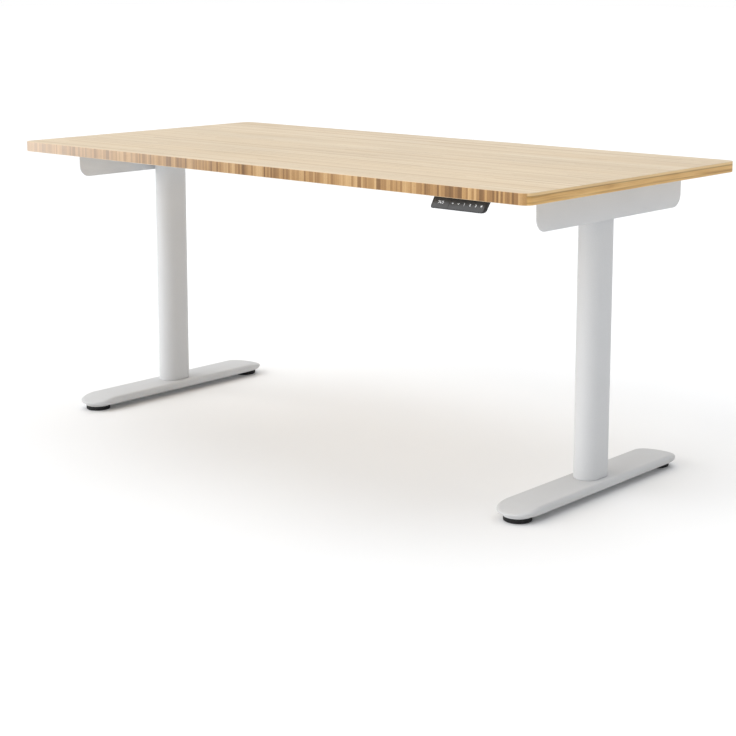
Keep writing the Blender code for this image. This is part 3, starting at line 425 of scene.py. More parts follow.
BLACK = (0.015, 0.015, 0.016)
LOOKS = {
    "bamboo": bamboo_look(),
    "powder_coat": powder_coat_look(),
    "rubber": moulded_look("rubber", (0.013, 0.013, 0.0135), 700, 0.0002, 0.62, 0.82, 0.25,
                           Specular_IOR_Level=0.35),
    "zinc": metal_look("zinc", (0.62, 0.63, 0.65), 0.26, 0.38, (700, 700, 90), 0.06),
    "steel": metal_look("steel", (0.56, 0.57, 0.59), 0.2, 0.32, (60, 60, 1600)),
    "cast_alloy": metal_look("cast_alloy", (0.6, 0.61, 0.63), 0.42, 0.58, (420, 420, 420), 0.03),
    "black_paint": moulded_look("black_paint", (0.022, 0.022, 0.023), 1100, 0.00008, 0.3, 0.44, 0.1,
                                Specular_IOR_Level=0.5),
    "black_plastic": moulded_look("black_plastic", BLACK, 1400, 0.0001, 0.4, 0.56, 0.16,
                                  Specular_IOR_Level=0.45),
    "gloss_black": panel_look(),
    "grey_plastic": moulded_look("grey_plastic", (0.56, 0.565, 0.57), 1100, 0.00008, 0.4, 0.54, 0.03,
                                 Specular_IOR_Level=0.45),
    "white_plastic": moulded_look("white_plastic", (0.76, 0.76, 0.72), 900, 0.00006, 0.3, 0.44, 0.03,
                                  Subsurface_Weight=0.05, Subsurface_Scale=0.004),
    "circuit_board": board_look(),
    "legend": lit_look(),
}


# -------- shapes

def arc(centre, radius, start, end, steps):
    """Points of an arc from angle start to angle end."""
    turns = [start + (end - start) * i / steps for i in range(steps + 1)]
    return [(centre[0] + radius * cos(a), centre[1] + radius * sin(a)) for a in turns]


def rounded_rectangle(width, depth, radius, steps=6, inset=0, centre=(0, 0)):
    """A rectangle with round corners, counter-clockwise, drawn in by inset."""
    half_x, half_y = width / 2 - inset, depth / 2 - inset
    radius = max(radius - inset, 0.0002)
    points = []
    for sx, sy, start in ((1, -1, -pi / 2), (1, 1, 0), (-1, 1, pi / 2), (-1, -1, pi)):
        corner = (centre[0] + sx * (half_x - radius), centre[1] + sy * (half_y - radius))
        points += arc(corner, radius, start, start + pi / 2, steps)
    return points


def obround(width, length, steps=24, inset=0):
    """A slot shape with half-round ends, width across X and length along Y."""
    radius, centre = width / 2 - inset, (length - width) / 2
    return arc((0, centre), radius, 0, pi, 2 * steps) + arc(
        (0, -centre), radius, pi, 2 * pi, 2 * steps)


def circle(radius, steps):
    """A round outline."""
    return arc((0, 0), radius, 0, 2 * pi, steps)[:-1]


def level(outline, z):
    """An outline as points at one height."""
    return [(x, y, z) for x, y in outline]


def loft(shell, loops, caps=True, wrap=False, move=None):
    """Adds a skin through loops of equal length to the shell, moved by a matrix."""
    move = move or Matrix.Identity(4)
    rings = [[shell.verts.new(move @ Vector(point)) for point in loop] for loop in loops]
    for low, high in zip(rings, rings[1:] + rings[:1] if wrap else rings[1:]):
        for i, corner in enumerate(low):
            j = (i + 1) % len(low)
            shell.faces.new((corner, low[j], high[j], high[i]))
    if caps and not wrap:
        shell.faces.new(list(reversed(rings[0])))
        shell.faces.new(rings[-1])
    return rings


def turned(shell, profile, steps=32, move=None):
    """Adds a solid of revolution about Z, from (radius, z) points that start and end on the axis."""
    move = move or Matrix.Identity(4)
    rings = []
    for radius, z in profile:
        count = steps if radius > 0 else 1
        rings.append([shell.verts.new(move @ Vector((radius * cos(2 * pi * i / steps),
                                                     radius * sin(2 * pi * i / steps), z)))
                      for i in range(count)])
    for low, high in zip(rings, rings[1:]):
        for i in range(steps):
            j = (i + 1) % steps
            corners = [low[i % len(low)], low[j % len(low)], high[j % len(high)], high[i % len(high)]]
            corners = list(dict.fromkeys(corners))
            if len(corners) > 2:
                shell.faces.new(corners)


def eased_slab(shell, outline, low, high, ease, steps=4, move=None):
    """Adds a slab with rounded upper and lower edges; outline is a function of the inset."""
    loops = []
    for centre, start in ((low + ease, -pi / 2), (high - ease, 0)):
        for i in range(steps + 1):
            angle = start + pi / 2 * i / steps
            loops.append(level(outline(ease * (1 - cos(angle))), centre + ease * sin(angle)))
    loft(shell, loops, move=move)


def tray_loops(outline, low, high, wall, fillet=0):
    """Loops of an open-topped tray: rounded lower edge, rim, and the inside with its fillet."""
    ease, rim, loops = 0.003, 0.0004, []
    for i in range(6):
        angle = pi / 2 * i / 5
        loops.append(level(outline(ease * (1 - sin(angle))), low + ease * (1 - cos(angle))))
    loops += [level(outline(0), high - rim), level(outline(rim), high), level(outline(wall), high),
              level(outline(wall), low + wall + fillet)]
    return loops + ([level(outline(wall + fillet), low + wall)] if fillet else [])


def block(shell, size, move, ease=0.0005):
    """Adds a box with small eased edges, centred on the move."""
    width, depth, height = size
    eased_slab(shell, lambda inset: rounded_rectangle(width, depth, 2 * ease, 2, inset),
               -height / 2, height / 2, ease, 2, move)


def at(x, y, z, *turns):
    """A placement: a point and then turns of (angle, axis)."""
    move = Matrix.Translation((x, y, z))
    for angle, axis in turns:
        move = move @ Matrix.Rotation(angle, 4, axis)
    return move


def placed(name, data):
    """A new object in the scene."""
    made = bpy.data.objects.new(name, data)
    bpy.context.scene.collection.objects.link(made)
    return made


def solid_mesh(name, shell):
    """Turns a shell into a mesh with its faces pointing out."""
    bmesh.ops.recalc_face_normals(shell, faces=shell.faces)
    mesh = bpy.data.meshes.new(name)
    shell.to_mesh(mesh)
    shell.free()
    return mesh


def made_piece(name, shell, look, rides="carriage", replaces=()):
    """Turns a shell into a piece that rides on a body, smooth except across sharp edges."""
    mesh = solid_mesh(name, shell)
    mesh.materials.append(LOOKS[look])
    mesh.shade_smooth()
    mesh.set_sharp_from_angle(angle=SHARP_ANGLE)
    made = placed(name, mesh)
    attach(made, rides)
    if replaces:
        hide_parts(*replaces)
    return made


# -------- desktop

def make_desktop():
    """The bamboo panel with softly eased edges."""
    size = TOP_HIGH - TOP_LOW
    shell = bmesh.new()
    eased_slab(shell, lambda inset: rounded_rectangle(size.x, size.y, 0.022, 14, inset),
               UNDERSIDE, TOP_HIGH.z, 0.0015, 5)
    made_piece("desktop_panel", shell, "bamboo", replaces=["desktop"])


# -------- feet and glides

def foot_height(y, z):
    """The height z of the foot's middle section, drawn in towards the ends."""
    share = max(0, (abs(y) - FOOT_DOME_Y) / (FOOT_LENGTH / 2 - FOOT_DOME_Y))
    if z > FOOT_WAIST:
        return z - FOOT_DOME_DROP * share**1.15 * (z - FOOT_WAIST) / (FOOT_TOP - FOOT_WAIST)
    return z + FOOT_RIM_RISE * share * (FOOT_WAIST - z) / (FOOT_WAIST - FOOT_UNDERSIDE)


def foot_loop(inset, z):
    """One loop round the foot, following its domed ends."""
    radius = FOOT_WIDTH / 2 - inset
    straights = [FOOT_END_Y - 0.002, FOOT_END_Y - 0.007, FOOT_DOME_Y, 0.12]
    right = [(radius, -y) for y in straights] + [(radius, y) for y in reversed(straights)]
    far = arc((0, FOOT_END_Y), radius, 0, pi, 48)
    near = arc((0, -FOOT_END_Y), radius, pi, 2 * pi, 48)
    left = [(-x, -y) for x, y in right]
    return [(x, y, foot_height(y, z)) for x, y in right + far + left + near]


def close_across(shell, ring):
    """Closes a ring that is symmetric in X with strips from side to side."""
    count = len(ring)
    middle = sum(vert.co.x for vert in ring) / count
    opposite = [min(range(count), key=lambda k: abs(ring[k].co.x + vert.co.x - 2 * middle)
                    + abs(ring[k].co.y - vert.co.y)) for vert in ring]
    for i in range(count):
        j = (i + 1) % count
        if ring[i].co.x - middle > -1e-6 and ring[j].co.x - middle > -1e-6:
            corners = dict.fromkeys((ring[i], ring[j], ring[opposite[j]], ring[opposite[i]]))
            shell.faces.new(list(corners))


def make_foot(side, sign):
    """One foot with its rolled flanks, domed ends and the bosses over the glides."""
    under = FOOT_WAIST - FOOT_UNDERSIDE
    loops = [foot_loop(0.011, FOOT_UNDERSIDE)]
    for i in range(1, 8):
        angle = pi / 2 * i / 8
        loops.append(foot_loop(0.0095 * (1 - sin(angle)), FOOT_WAIST - under * cos(angle)))
    radius = 0.0078
    for i in range(13):
        angle = pi / 2 * i / 12
        loops.append(foot_loop(radius * (1 - cos(angle)), FOOT_TOP - radius * (1 - sin(angle))))
    shell = bmesh.new()
    move = at(sign * COLUMN_X, 0, 0)
    rings = loft(shell, loops, caps=False, move=move)
    close_across(shell, rings[0])
    close_across(shell, rings[-1])
    low, high, ease = GLIDE_HEIGHT + GAP, 0.019, 0.0008
    for _, end in ENDS:
        turned(shell, [(0, low), (BOSS_RADIUS - ease, low), (BOSS_RADIUS, low + ease),
                       (BOSS_RADIUS, high), (0, high)], 64, at(sign * COLUMN_X, end * GLIDE_Y, 0))
    made_piece(f"{side}_foot_beam", shell, "powder_coat", f"{side}_base", replaces=[f"{side}_foot"])


def make_glide(end, y_sign, side, sign):
    """A rubber pad with a tread groove round it, and its threaded stud."""
    place = f"{end}_{side}"
    move = at(sign * COLUMN_X, y_sign * GLIDE_Y, 0)
    radius, high = GLIDE_RADIUS, GLIDE_HEIGHT
    shell = bmesh.new()
    turned(shell, [(0, 0.0012), (radius - 0.006, 0.0012), (radius - 0.0052, 0),
                   (radius - 0.0016, 0), (radius - 0.0005, 0.0005), (radius, 0.0016),
                   (radius, 0.004), (radius - 0.0004, 0.0044), (radius - 0.0004, 0.005),
                   (radius, 0.0054), (radius, high - 0.002), (radius - 0.0006, high - 0.0006),
                   (radius - 0.002, high), (0.0062, high), (0.0056, high - 0.0004),
                   (0.0056, 0.0045), (0, 0.0045)], 72, move)
    made_piece(f"{place}_glide_tread", shell, "rubber", f"{place}_glide",
               replaces=[f"{place}_glide_pad"])
    stud, low, top, pitch = bmesh.new(), 0.0048, 0.027, 0.00125
    profile = [(0, low), (0.0032, low)]
    count = int((top - low - 0.001) / pitch)
    for i in range(count):
        base = low + 0.0003 + i * pitch
        profile += [(0.0033, base), (0.0038, base + 0.45 * pitch), (0.0038, base + 0.6 * pitch)]
    profile += [(0.0031, top - 0.0003), (0.0026, top), (0, top)]
    turned(stud, profile, 24, move)
    made_piece(f"{place}_glide_screw", stud, "zinc", f"{place}_stud", replaces=[f"{place}_glide_stud"])


# -------- columns

def tube(shell, size, wall, low, high, ease, move):
    """An obround tube with eased rims."""
    outer = [level(obround(*size, inset=ease), low), level(obround(*size), low + ease),
             level(obround(*size), high - ease), level(obround(*size, inset=ease), high)]
    inner = [level(obround(*size, inset=wall), high), level(obround(*size, inset=wall), low)]
    loft(shell, outer + inner, wrap=True, move=move)


def make_column(side, sign):
    """The fixed outer tube, the guide collar, and the tube that slides in it."""
    move = at(sign * COLUMN_X, 0, 0)
    low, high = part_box(f"{side}_outer_tube")[0].z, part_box(f"{side}_outer_tube")[1].z
    shell = bmesh.new()
    tube(shell, OUTER_TUBE, OUTER_WALL, low, high, 0.0004, move)
    made_piece(f"{side}_column_outer", shell, "powder_coat", f"{side}_base",
               replaces=[f"{side}_outer_tube"])

    shell = bmesh.new()
    seat, rim, ease = high + GAP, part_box(f"{side}_guide_collar")[1].z, 0.0009
    bore = obround(*INNER_TUBE, inset=-GAP)
    skirt = obround(*OUTER_TUBE, inset=OUTER_WALL + GAP)
    flange = [level(obround(*OUTER_TUBE, inset=0.3 * ease), seat),
              level(obround(*OUTER_TUBE), seat + 0.3 * ease), level(obround(*OUTER_TUBE), rim - ease),
              level(obround(*OUTER_TUBE, inset=0.3 * ease), rim - 0.3 * ease),
              level(obround(*OUTER_TUBE, inset=ease), rim)]
    loft(shell, [level(bore, high - 0.013), level(skirt, high - 0.013), level(skirt, seat), *flange,
                 level(obround(*INNER_TUBE, inset=-GAP - 0.0008), rim), level(bore, rim - 0.0008)],
         wrap=True, move=move)
    made_piece(f"{side}_collar_ring", shell, "grey_plastic", f"{side}_base",
               replaces=[f"{side}_guide_collar"])

    shell = bmesh.new()
    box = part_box(f"{side}_inner_tube")
    tube(shell, INNER_TUBE, INNER_WALL, box[0].z, box[1].z, 0.0004, move)
    made_piece(f"{side}_column_inner", shell, "powder_coat", replaces=[f"{side}_inner_tube"])


def button_head(shell, move):
    """A button head with a hexagon socket, standing on z 0 of the move."""
    radius, height = 0.0055, 0.0028
    socket, floor = radius * 0.5, height * 0.35
    dome = [(radius, 0), (radius, height * 0.25), (radius * 0.9, height * 0.62),
            (radius * 0.72, height * 0.9), (radius * 0.6, height)]
    loops = [level(circle(r, 24), z) for r, z in dome]
    flats = [min(1, cos(pi / 6) / cos((2 * pi * i / 24) % (pi / 3) - pi / 6)) for i in range(24)]
    hexagon = [(socket * f * cos(2 * pi * i / 24), socket * f * sin(2 * pi * i / 24))
               for i, f in enumerate(flats)]
    loft(shell, [*loops, level(hexagon, height), level(hexagon, floor)], move=move)


def make_housing(side, sign):
    """The folded tray of the drive with its fixing bolts."""
    inboard = -sign
    width = HOUSING_OUTBOARD + HOUSING_INBOARD
    middle = inboard * (HOUSING_INBOARD - HOUSING_OUTBOARD) / 2

    def outline(inset):
        return rounded_rectangle(width, 2 * HOUSING_HALF_Y, 0.008, 8, inset, (middle, 0))

    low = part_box(f"{side}_drive_housing")[0].z
    shell = bmesh.new()
    column = at(sign * COLUMN_X, 0, 0)
    loft(shell, tray_loops(outline, low, HOUSING_TOP, SHEET, 0.0015), move=column)
    made_piece(f"{side}_housing_tray", shell, "powder_coat", replaces=[f"{side}_drive_housing"])
    bolts = bmesh.new()
    for _, end in ENDS:
        for reach in (-0.012, 0.052):
            move = column @ at(inboard * reach, end * 0.088, low, (pi, "X"))
            button_head(bolts, move)
        for lift in (-0.008, 0.008):
            face = column @ at(inboard * HOUSING_INBOARD, end * RAIL_Y, RAIL_TOP - 0.016 + lift,
                               (inboard * pi / 2, "Y"))
            turned(bolts, [(0, 0.0001), (0.003, 0.0001), (0.003, 0.0003), (0, 0.0004)], 16, face)
    made_piece(f"{side}_housing_bolts", bolts, "zinc")


def make_bracket(side, sign):
    """The bent side plate with its rounded lower corners."""
    x_outer, bend = BRACKET_X, 0.003
    section = [(x_outer - BRACKET_FLANGE, HUNG)]
    section += [(x, z) for x, z in arc((x_outer - bend, HUNG - bend), bend, pi / 2, 0, 8)]
    shell = bmesh.new()
    rows = [[shell.verts.new((sign * x, y, z)) for x, z in section]
            for y in (-BRACKET_HALF_Y, BRACKET_HALF_Y)]
    for i in range(len(section) - 1):
        shell.faces.new((rows[0][i], rows[0][i + 1], rows[1][i + 1], rows[1][i]))
    radius, reach = BRACKET_CORNER, BRACKET_HALF_Y
    lower = arc((reach - radius, BRACKET_BOTTOM + radius), radius, 0, -pi / 2, 24)
    lower += arc((-reach + radius, BRACKET_BOTTOM + radius), radius, -pi / 2, -pi, 24)
    plate = [rows[1][-1]] + [shell.verts.new((sign * x_outer, y, z)) for y, z in lower]
    shell.faces.new(plate + [rows[0][-1]])
    made = made_piece(f"{side}_bracket_plate", shell, "powder_coat", replaces=[f"{side}_side_bracket"])
    if made.data.polygons[0].normal.z < 0:
        made.data.flip_normals()
    thicken = made.modifiers.new("sheet", "SOLIDIFY")
    thicken.thickness = SHEET
    thicken.offset = -1
    thicken.use_even_offset = True
    soften = made.modifiers.new("edges", "BEVEL")
    soften.width = 0.0006
    soften.segments = 3
    soften.limit_method = "ANGLE"
    soften.angle_limit = 1


def pan_screw(shell, move, radius, shank, length):
    """A pan head screw with a cross recess, its head hanging below z 0 of the move."""
    height = radius * 0.62
    dome = [(0, -height + 0.0004), (radius * 0.2, -height + 0.0003), (radius * 0.3, -height),
            (radius * 0.55, -height * 0.96), (radius * 0.8, -height * 0.78),
            (radius * 0.95, -height * 0.45), (radius, -height * 0.15), (radius, 0), (shank, 0)]
    count = int(length / 0.0018)
    thread = []
    for i in range(count):
        base = i * 0.0018 + 0.0004
        thread += [(shank * 0.78, base), (shank, base + 0.0009), (shank * 0.78, base + 0.0015)]
    turned(shell, dome + thread + [(0, length + shank)], 24, move)
    for angle in (0, pi / 2):
        block(shell, (radius * 0.95, radius * 0.16, 0.0004),
              move @ at(0, 0, -height - 0.00005, (angle, "Z")), 0.0001)


def make_screws():
    """The screws that hold the brackets and the handset to the desktop."""
    for side, sign in SIDES:
        for end, y_sign in ENDS:
            node = f"{end}_{side}_top_screw"
            shell = bmesh.new()
            pan_screw(shell, at(sign * BRACKET_SCREW_X, y_sign * BRACKET_SCREW_Y, HUNG - SHEET - GAP),
                      0.0045, 0.0021, 0.013)
            made_piece(f"{node}_cross", shell, "zinc", replaces=[node])
        shell = bmesh.new()
        pan_screw(shell, at(HANDSET_X + sign * HANDSET_SCREW_X, HANDSET_SCREW_Y,
                            HUNG - HANDSET_PLATE - GAP), 0.0036, 0.0016, 0.012)
        made_piece(f"{side}_handset_screw_cross", shell, "zinc", replaces=[f"{side}_handset_screw"])


# -------- frame and control box

def make_rails():
    """The two rectangular tubes that tie the housings together."""
    half = COLUMN_X - HOUSING_INBOARD - GAP
    depth, height = RAIL_SECTION
    for end, y_sign in ENDS:
        shell = bmesh.new()
        outer = rounded_rectangle(height, depth, 0.003, 8)
        inner = rounded_rectangle(height, depth, 0.003, 8, inset=0.002)
        move = at(0, y_sign * RAIL_Y, RAIL_TOP - height / 2, (pi / 2, "Y"))
        loft(shell, [level(outer, -half), level(outer, half), level(inner, half), level(inner, -half)],
             wrap=True, move=move)
        made_piece(f"{end}_rail_tube", shell, "powder_coat", replaces=[f"{end}_rail"])


def make_control_box():
    """The control box: cover with cooling ribs, mounting plate, sockets, plugs and lamp."""
    width, depth = BOX_SIZE

    def outline(inset):
        return rounded_rectangle(width, depth, 0.008, 8, inset)

    shell = bmesh.new()
    loft(shell, tray_loops(outline, BOX_BOTTOM, BOX_TOP, 0.0025))
    for y_sign in (-1, 1):
        for i in range(15):
            block(shell, (0.0032, 0.0016, 0.02),
                  at(-0.077 + 0.011 * i, y_sign * (depth / 2 + 0.0004), 0.665), 0.0004)
    for i in range(9):
        block(shell, (0.11, 0.0018, 0.001), at(0.03, -0.024 + 0.006 * i, BOX_BOTTOM), 0.0003)
    made_piece("control_box_case", shell, "black_plastic", replaces=["control_box_cover"])

    lamp = bmesh.new()
    turned(lamp, [(0, -0.001), (0.0016, -0.001), (0.0016, 0.0002), (0.001, 0.0007), (0, 0.0009)], 20,
           at(-0.108, -0.03, BOX_BOTTOM + 0.0002, (pi, "X")))
    made_piece("control_box_lamp", lamp, "white_plastic")

    plugs = bmesh.new()
    for x_sign, y, z, radius in ((1, 0.03, WORM_Z, LEAD_RADIUS), (-1, 0.03, WORM_Z, LEAD_RADIUS),
                                 (1, -0.01, 0.666, HANDSET_LEAD_RADIUS)):
        turn = (x_sign * pi / 2, "Y")
        start = x_sign * (width / 2 + 0.0001)
        block(plugs, (radius * 4.2, radius * 5.4, 0.006), at(start + x_sign * 0.003, y, z, turn), 0.0006)
        boot = [(0, 0), (radius * 1.75, 0), (radius * 1.7, 0.002), (radius * 1.35, 0.0024),
                (radius * 1.55, 0.003), (radius * 1.5, 0.0044), (radius * 1.2, 0.0048),
                (radius * 1.4, 0.0054), (radius * 1.3, 0.007), (radius * 1.02, 0.0078), (0, 0.0078)]
        turned(plugs, boot, 24, at(start + x_sign * 0.006, y, z, turn))
    made_piece("control_box_plugs", plugs, "black_plastic")

    plate, low = bmesh.new(), BOX_TOP + GAP
    size = (width + 0.012, depth + 0.012)
    eased_slab(plate, lambda inset: rounded_rectangle(*size, 0.008, 8, inset), low, HUNG, 0.0008, 3)
    made_piece("control_box_base", plate, "black_plastic", replaces=["control_box_plate"])
    screws = bmesh.new()
    for sx in (-1, 1):
        for sy in (-1, 1):
            pan_screw(screws, at(sx * (width / 2 - 0.01), sy * (depth / 2 - 0.01), BOX_BOTTOM + 0.0012),
                      0.0028, 0.0012, 0.004)
    made_piece("control_box_screws", screws, "zinc")


# -------- handset

def handset_half_width(z):
    """Half the housing's width at a height, following its rounded lower corners."""
    corner = 0.0055
    rise = min(z - HANDSET_BOTTOM, corner)
    return HANDSET_WIDTH / 2 - corner + sqrt(max(0, corner**2 - (corner - rise) ** 2))


def handset_front_y(z):
    """The sloping face's place at a height."""
    share = (z - HANDSET_BOTTOM) / (HUNG - HANDSET_BOTTOM)
    return HANDSET_BOTTOM_Y + share * (HANDSET_TOP_Y - HANDSET_BOTTOM_Y)


def handset_back_y(z):
    """The place of the housing's back at a height."""
    share = (z - HANDSET_BOTTOM) / (HUNG - HANDSET_BOTTOM)
    low, high = HANDSET_DEPTH
    return handset_front_y(z) + low + share * (high - low)


def handset_face():
    """The placement of the sloping face: X along it, Y up it, Z out of it."""
    slope = atan2(HANDSET_TOP_Y - HANDSET_BOTTOM_Y, HUNG - HANDSET_BOTTOM)
    middle = (HANDSET_BOTTOM + HUNG) / 2 + 0.0004
    return at(HANDSET_X, handset_front_y(middle), middle, (pi / 2 - slope, "X"))


def make_handset():
    """The touch handset: body with mounting plate and ribs, display, touch panel and legends."""
    shell, edge = bmesh.new(), 0.0028
    heights = [HANDSET_BOTTOM + 0.0055 * (1 - cos(pi / 2 * i / 10)) for i in range(11)]
    loops = []
    for z in heights + [HUNG - 0.0006, HUNG]:
        half, front, back = handset_half_width(z), handset_front_y(z), handset_back_y(z)
        outline = arc((half - edge, front + edge), edge, -pi / 2, 0, 8)
        outline += arc((half - edge, back - edge), edge, 0, pi / 2, 6)
        outline += arc((-half + edge, back - edge), edge, pi / 2, pi, 6)
        outline += arc((-half + edge, front + edge), edge, pi, 1.5 * pi, 8)
        loops.append([(x + HANDSET_X, y, z) for x, y in outline])
    loft(shell, loops)
    front, back = HANDSET_TOP_Y + 0.006, HANDSET_PLATE_BACK_Y
    depth = back - front

    def plate(inset):
        points = rounded_rectangle(HANDSET_WIDTH - 0.0006, depth, 0.004, 6, inset)
        return [(x * (1 - 0.11 * (y / depth + 0.5)) + HANDSET_X, y + (front + back) / 2)
                for x, y in points]

    eased_slab(shell, plate, HUNG - HANDSET_PLATE, HUNG, 0.0006, 3)
    for sign in (-1, 1):
        low, high = HUNG - 0.013, HUNG - HANDSET_PLATE / 2
        section = [(handset_back_y(low) - 0.001, low), (handset_back_y(low) - 0.001, high),
                   (handset_back_y(HUNG) + 0.018, high)]
        loft(shell, [[(HANDSET_X + sign * 0.045 + half, y, z) for y, z in section]
                     for half in (-0.001, 0.001)])
    body = made_piece("handset_case", shell, "black_plastic", replaces=["handset_housing"])

    face = handset_face()
    pocket = bmesh.new()
    loft(pocket, [level(rounded_rectangle(PANEL_SIZE[0] + 0.0006, PANEL_SIZE[1] + 0.0006, 0.0036, 6), z)
                  for z in (-0.0017, 0.01)], move=face)
    cutter = placed("handset_pocket", solid_mesh("handset_pocket", pocket))
    carve = body.modifiers.new("pocket", "BOOLEAN")
    carve.operation, carve.object, carve.solver = "DIFFERENCE", cutter, "EXACT"
    graph = bpy.context.evaluated_depsgraph_get()
    carved = bpy.data.meshes.new_from_object(body.evaluated_get(graph))
    body.modifiers.clear()
    body.data = carved
    bpy.data.objects.remove(cutter)

    half = PANEL_SIZE[0] / 2
    split = -half + PANEL_SPLIT * PANEL_SIZE[0]
    for name, node, low, high in (("display_window", "handset_display", -half, split - 0.0002),
                                  ("touch_window", "handset_touch_panel", split + 0.0002, half)):
        panel = bmesh.new()
        ends = (low if low > -half else None, high if high < half else None)

        def outline(inset, low=low, high=high, ends=ends):
            points = []
            for x, sy, start in ((high, -1, -pi / 2), (high, 1, 0), (low, 1, pi / 2), (low, -1, pi)):
                radius = 0.0003 if x in ends else 0.0034
                radius = max(radius - inset, 0.0001)
                centre_x = x - (radius + inset) if x == high else x + radius + inset
                centre = (centre_x, sy * (PANEL_SIZE[1] / 2 - inset - radius))
                points += arc(centre, radius, start, start + pi / 2, 6)
            return points

        eased_slab(panel, outline, -0.0014, 0, 0.00025, 3, face)
        made_piece(name, panel, "gloss_black", replaces=[node])
    make_legends(face)


def stroke(shell, points, width, move, closed=False):
    """A flat line of even width with mitred corners, standing a hair above the face."""
    path = [Vector((x, y, 0)) for x, y in points]
    count = len(path)
    rails = []
    for i, point in enumerate(path):
        before = path[i - 1] if closed or i > 0 else None
        after = path[(i + 1) % count] if closed or i < count - 1 else None
        into = (point - before).normalized() if before is not None else (after - point).normalized()
        out = (after - point).normalized() if after is not None else into
        along = (into + out).normalized()
        across = Vector((-along.y, along.x, 0)) * (width / 2 / max(0.5, along.dot(into)))
        rails.append((point - across, point + across))
    low, high = 0.00003, 0.00009
    rings = [[shell.verts.new(move @ Vector((p.x, p.y, z))) for p, z in
              ((a, low), (b, low), (b, high), (a, high))] for a, b in rails]
    for first, second in zip(rings, rings[1:] + rings[:1] if closed else rings[1:]):
        for i in range(4):
            j = (i + 1) % 4
            shell.faces.new((first[i], first[j], second[j], second[i]))
    if not closed:
        shell.faces.new(rings[0])
        shell.faces.new(list(reversed(rings[-1])))


def oval(width, height, steps=20, centre=(0, 0)):
    """An upright oval outline."""
    return [(centre[0] + width / 2 * cos(2 * pi * i / steps),
             centre[1] + height / 2 * sin(2 * pi * i / steps)) for i in range(steps)]


def glyph(kind, height):
    """Strokes of a sign, as (points, closed), centred on its middle."""
    h, w = height / 2, height * 0.3
    if kind == "7":
        return [([(-w, h), (w, h), (-w * 0.35, -h)], False)]
    if kind == "4":
        return [([(w * 0.45, -h), (w * 0.45, h), (-w * 1.1, -h * 0.38), (w * 1.15, -h * 0.38)], False)]
    if kind == "0":
        return [(oval(2.15 * w, height), True)]
    if kind == "dot":
        return [(oval(height * 0.05, height * 0.05, 8, (0, -h * 0.94)), True)]
    if kind == "1":
        return [([(-w * 0.55, h * 0.62), (w * 0.1, h), (w * 0.1, -h)], False)]
    if kind == "2":
        curl = arc((0, h * 0.42), w * 0.95, radians(165), radians(-35), 9)
        return [(curl + [(-w, -h), (w, -h)], False)]
    if kind == "3":
        upper = arc((0, h * 0.47), w * 0.85, radians(150), radians(-75), 8)
        lower = arc((0, -h * 0.45), w * 0.98, radians(70), radians(-150), 9)
        return [(upper + lower, False)]
    if kind == "memory":
        return [([(-w * 1.15, -h), (-w * 1.15, h), (0, -h * 0.15), (w * 1.15, h), (w * 1.15, -h)],
                 False)]
    tip = h * 0.55 if kind == "up" else -h * 0.55
    return [([(-w * 1.35, -tip), (0, tip), (w * 1.35, -tip)], False)]


def make_legends(face):
    """The height reading and the six touch signs, printed in white and lit from behind."""
    shell = bmesh.new()
    for signs, height, width in ((READING, READING_HEIGHT, 0.00048), (KEYS, KEY_HEIGHT, 0.00058)):
        for kind, place in signs:
            spot = face @ at(place - HANDSET_WIDTH / 2, 0, 0)
            for points, closed in glyph(kind, height):
                stroke(shell, points, width, spot, closed)
    made_piece("handset_legends", shell, "legend")


# -------- leads

def smooth_route(points, spacing):
    """Points of a Catmull-Rom curve through the route, about spacing apart."""
    route = [Vector(p) for p in points]
    padded = [2 * route[0] - route[1], *route, 2 * route[-1] - route[-2]]
    made = []
    for a, b, c, d in zip(padded, padded[1:], padded[2:], padded[3:]):
        count = max(2, round((c - b).length / spacing))
        for i in range(count):
            t = i / count
            made.append(0.5 * (2 * b + (c - a) * t + (2 * a - 5 * b + 4 * c - d) * t * t
                               + (3 * b - a - 3 * c + d) * t**3))
    return made + [route[-1]]


def make_lead(name, node, route, radius):
    """A lead as a smooth tube that follows the frame."""
    points = smooth_route(route, radius * 3)
    shell = bmesh.new()
    steps, rings, side = 14, [], Vector((0, 0, 1))
    for i, point in enumerate(points):
        after, before = points[min(i + 1, len(points) - 1)], points[max(i - 1, 0)]
        along = (after - before).normalized()
        side = (side - along * side.dot(along)).normalized()
        other = along.cross(side)
        rings.append([point + radius * (cos(2 * pi * k / steps) * side + sin(2 * pi * k / steps) * other)
                      for k in range(steps)])
    loft(shell, rings)
    made_piece(name, shell, "black_plastic", replaces=[node])


